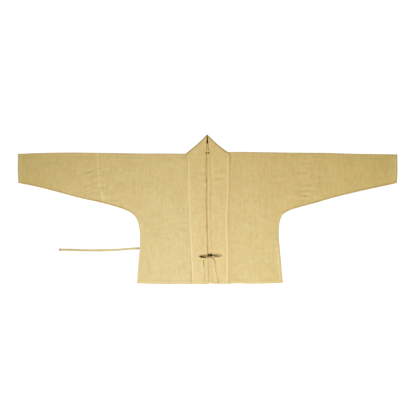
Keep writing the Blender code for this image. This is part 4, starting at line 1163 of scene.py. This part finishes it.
def add(tree, kind, inputs=None, **settings):
    """Adds a node, sets its properties, and links or sets its inputs by name or number. A node given as an
    input stands for its first output."""
    item = tree.nodes.new("ShaderNode" + kind)
    for name, value in settings.items():
        setattr(item, name, value)
    for key, value in (inputs or {}).items():
        if isinstance(value, bpy.types.Node):
            value = value.outputs[0]
        if isinstance(value, bpy.types.NodeSocket):
            tree.links.new(value, item.inputs[key])
        else:
            item.inputs[key].default_value = value
    return item


def ramie(name, deep, pale, double, stitched_and_shade, painted_shade):
    """Ramie: bast-fibre yarn in plain weave, hand woven, washed and pressed. The eye sees a matte straw gold,
    uneven yarns that run as faint streaks along the warp and shorter ones along the weft, a paler tone where
    the cloth lies double and a deeper one where it is stitched. That stitched tone and a warm brown are also
    painted shade along folds and edges, in crevices and round the bow. Tints by place deepen it away from the
    lower right front."""
    material = bpy.data.materials.new(name)
    material.use_nodes = True
    tree = material.node_tree
    shader = tree.nodes["Principled BSDF"]
    place = add(tree, "UVMap", uv_map=UV)
    apart = add(tree, "SeparateXYZ", {0: place})

    def slub(wide, long, detail):
        """Uneven yarn: noise whose grain is so many millimetres across the yarn and so many along it."""
        stretched = add(tree, "Mapping", {0: place, "Scale": (1 / (wide * MM), 1 / (long * MM), 1.0)})
        return add(tree, "TexNoise", {"Vector": stretched, "Scale": 1.0, "Detail": detail, "Roughness": 0.55})

    # Streaks and single yarns of the warp, the same of the weft, then mottle and wide clouds
    grains = [slub(*size) for size in ((11.0, 150.0, 3.0), (3.0, 60.0, 2.0), (110.0, 12.0, 2.0),
                                       (45.0, 3.0, 2.0), (15.0, 22.0, 3.0), (70.0, 95.0, 2.0))]
    warp_yarn, weft_yarn = grains[1], grains[3]
    crests = []
    for axis in (0, 1):
        turns = add(tree, "Math", {0: apart.outputs[axis], 1: math.pi / (THREAD * MM)}, operation="MULTIPLY")
        crests.append(add(tree, "Math", {0: turns}, operation="SINE"))
    check = add(tree, "Math", {0: crests[0], 1: crests[1]}, operation="MULTIPLY")
    warp_share = add(tree, "Math", {0: warp_yarn, 1: 0.6}, operation="MULTIPLY")
    yarn = add(tree, "Math", {0: weft_yarn, 1: 0.4, 2: warp_share}, operation="MULTIPLY_ADD")

    tone = 0.0
    for grain, share in zip([*grains, check], (0.16, 0.24, 0.1, 0.16, 0.24, 0.1, 0.015)):
        tone = add(tree, "Math", {0: grain, 1: share, 2: tone}, operation="MULTIPLY_ADD")
    spread = add(tree, "MapRange", {"Value": tone, "From Min": 0.35, "From Max": 0.65})
    colour = add(tree, "Mix", {0: spread, 6: linear(deep), 7: linear(pale)}, data_type="RGBA").outputs[2]
    patch = add(tree, "MapRange", {"Value": slub(33.0, 41.0, 2.0), "From Min": 0.35, "From Max": 0.65})
    dye = add(tree, "Mix", {0: patch, 6: linear("fffcf6"), 7: linear("fcffff")}, data_type="RGBA").outputs[2]
    colour = add(tree, "Mix", {0: 1.0, 6: colour, 7: dye}, data_type="RGBA", blend_type="MULTIPLY").outputs[2]
    # Paler where the cloth lies double, the stitched tone (for stitches and as painted shade), and the warm
    # brown of painted shade
    for label, share, tint in zip(TONES, (0.55, 0.6, 1.0), (double, stitched_and_shade, painted_shade)):
        shown = add(tree, "Attribute", attribute_name=label).outputs["Fac"]
        factor = add(tree, "Math", {0: shown, 1: share}, operation="MULTIPLY")
        colour = add(tree, "Mix", {0: factor, 6: colour, 7: linear(tint)}, data_type="RGBA").outputs[2]
    # The deepest painted shade goes on to the near-black of a painted shadow
    closed = add(tree, "MapRange", {"Value": shown, "From Min": 0.5, "From Max": 1.0})
    colour = add(tree, "Mix", {0: closed, 6: colour, 7: linear(PAINTED_SHADOW)}, data_type="RGBA").outputs[2]
    spot = add(tree, "TexCoord").outputs["Object"]
    for centre, full, gone, tint in PLACE_TINTS:
        away = add(tree, "VectorMath", {0: spot, 1: centre}, operation="DISTANCE").outputs["Value"]
        share = add(tree, "MapRange", {"Value": away, "From Min": gone, "From Max": full})
        colour = add(tree, "Mix", {0: share, 6: colour, 7: linear(tint)}, data_type="RGBA",
                     blend_type="MULTIPLY").outputs[2]
    tree.links.new(colour, shader.inputs["Base Color"])

    woven = add(tree, "Math", {0: check}, operation="ABSOLUTE")
    height = add(tree, "Math", {0: yarn, 1: 1.6, 2: woven}, operation="MULTIPLY_ADD")
    bump = add(tree, "Bump", {"Height": height, "Strength": 0.5, "Distance": 0.16 * MM})
    rough = add(tree, "MapRange", {"Value": yarn, "From Min": 0.3, "From Max": 0.7, "To Min": 0.92,
                                   "To Max": 0.74})
    tree.links.new(bump.outputs[0], shader.inputs["Normal"])
    tree.links.new(rough.outputs[0], shader.inputs["Roughness"])
    for label, value in (("Specular IOR Level", 0.1), ("Sheen Weight", 0.03), ("Sheen Roughness", 0.5)):
        shader.inputs[label].default_value = value
    return material


def pale_floor():
    """A plain pale floor, bright of itself as a light table is."""
    material = bpy.data.materials.new("matte_white_floor")
    material.use_nodes = True
    shader = material.node_tree.nodes["Principled BSDF"]
    for label, value in (("Base Color", linear("8c8c8c")), ("Roughness", 1.0), ("Specular IOR Level", 0.0),
                         ("Emission Color", linear("ffffff")), ("Emission Strength", FLOOR_GLOW)):
        shader.inputs[label].default_value = value
    bpy.ops.mesh.primitive_plane_add(size=FLOOR_SIZE, location=(0, 0, FLOOR_Z))
    item = bpy.context.object
    item.name = "floor"
    item.data.materials.append(material)


def set_up(name, data, location=(0, 0, 0), rotation=(0, 0, 0)):
    """Puts a camera or a light in the scene."""
    item = bpy.data.objects.new(name, data)
    item.location = location
    item.rotation_euler = [math.radians(angle) for angle in rotation]
    bpy.context.collection.objects.link(item)
    return item


def studio():
    """Camera straight above, a soft light above the hem, a far one from beyond the lower right front, and a
    weak even fill."""
    scene = bpy.context.scene
    data = bpy.data.cameras.new("camera")
    data.lens, data.sensor_width, data.clip_end = LENS, SENSOR, 600
    scene.camera = set_up("camera", data, (*FRAME_CENTRE, FRAME_WIDTH * LENS / SENSOR))
    light = bpy.data.lights.new("softbox", "AREA")
    light.shape, light.size, light.energy = "DISK", SOFTBOX_SIZE, SOFTBOX_POWER
    set_up("softbox", light, SOFTBOX_AT).visible_camera = False
    far = bpy.data.lights.new("far_key", "SUN")
    far.energy, far.angle = KEY_STRENGTH, math.radians(KEY_SPREAD)
    set_up("far_key", far, rotation=(KEY_TILT, 0, KEY_TURN))
    world = bpy.data.worlds.new("fill")
    world.use_nodes = True
    fill = world.node_tree.nodes["Background"].inputs
    fill["Color"].default_value = (1, 1, 1, 1)
    fill["Strength"].default_value = FILL_STRENGTH
    scene.world = world
    scene.view_settings.view_transform = "Standard"


studio()
pale_floor()
cloth = ramie("woven_ramie", deep="d6be85", pale="ecdba9", double="f7e5b6", stitched_and_shade="957f49",
              painted_shade="b07808")
band_cloth = ramie("woven_ramie_band", deep="d8bf84", pale="eddaa8", double="faeabe", stitched_and_shade="957f49",
                   painted_shade="b07808")
tie_cloth = ramie("woven_ramie_tape", deep="d8c48c", pale="f0e2b6", double="f8ecc4", stitched_and_shade="6e5a30",
                  painted_shade="8a6010")
side_tie(tie_cloth)
bow(tie_cloth)
for wearer_side in (RIGHT, LEFT):
    body_half(wearer_side, cloth)
    sleeve(wearer_side, cloth)
collar(band_cloth)
sewing(cloth)
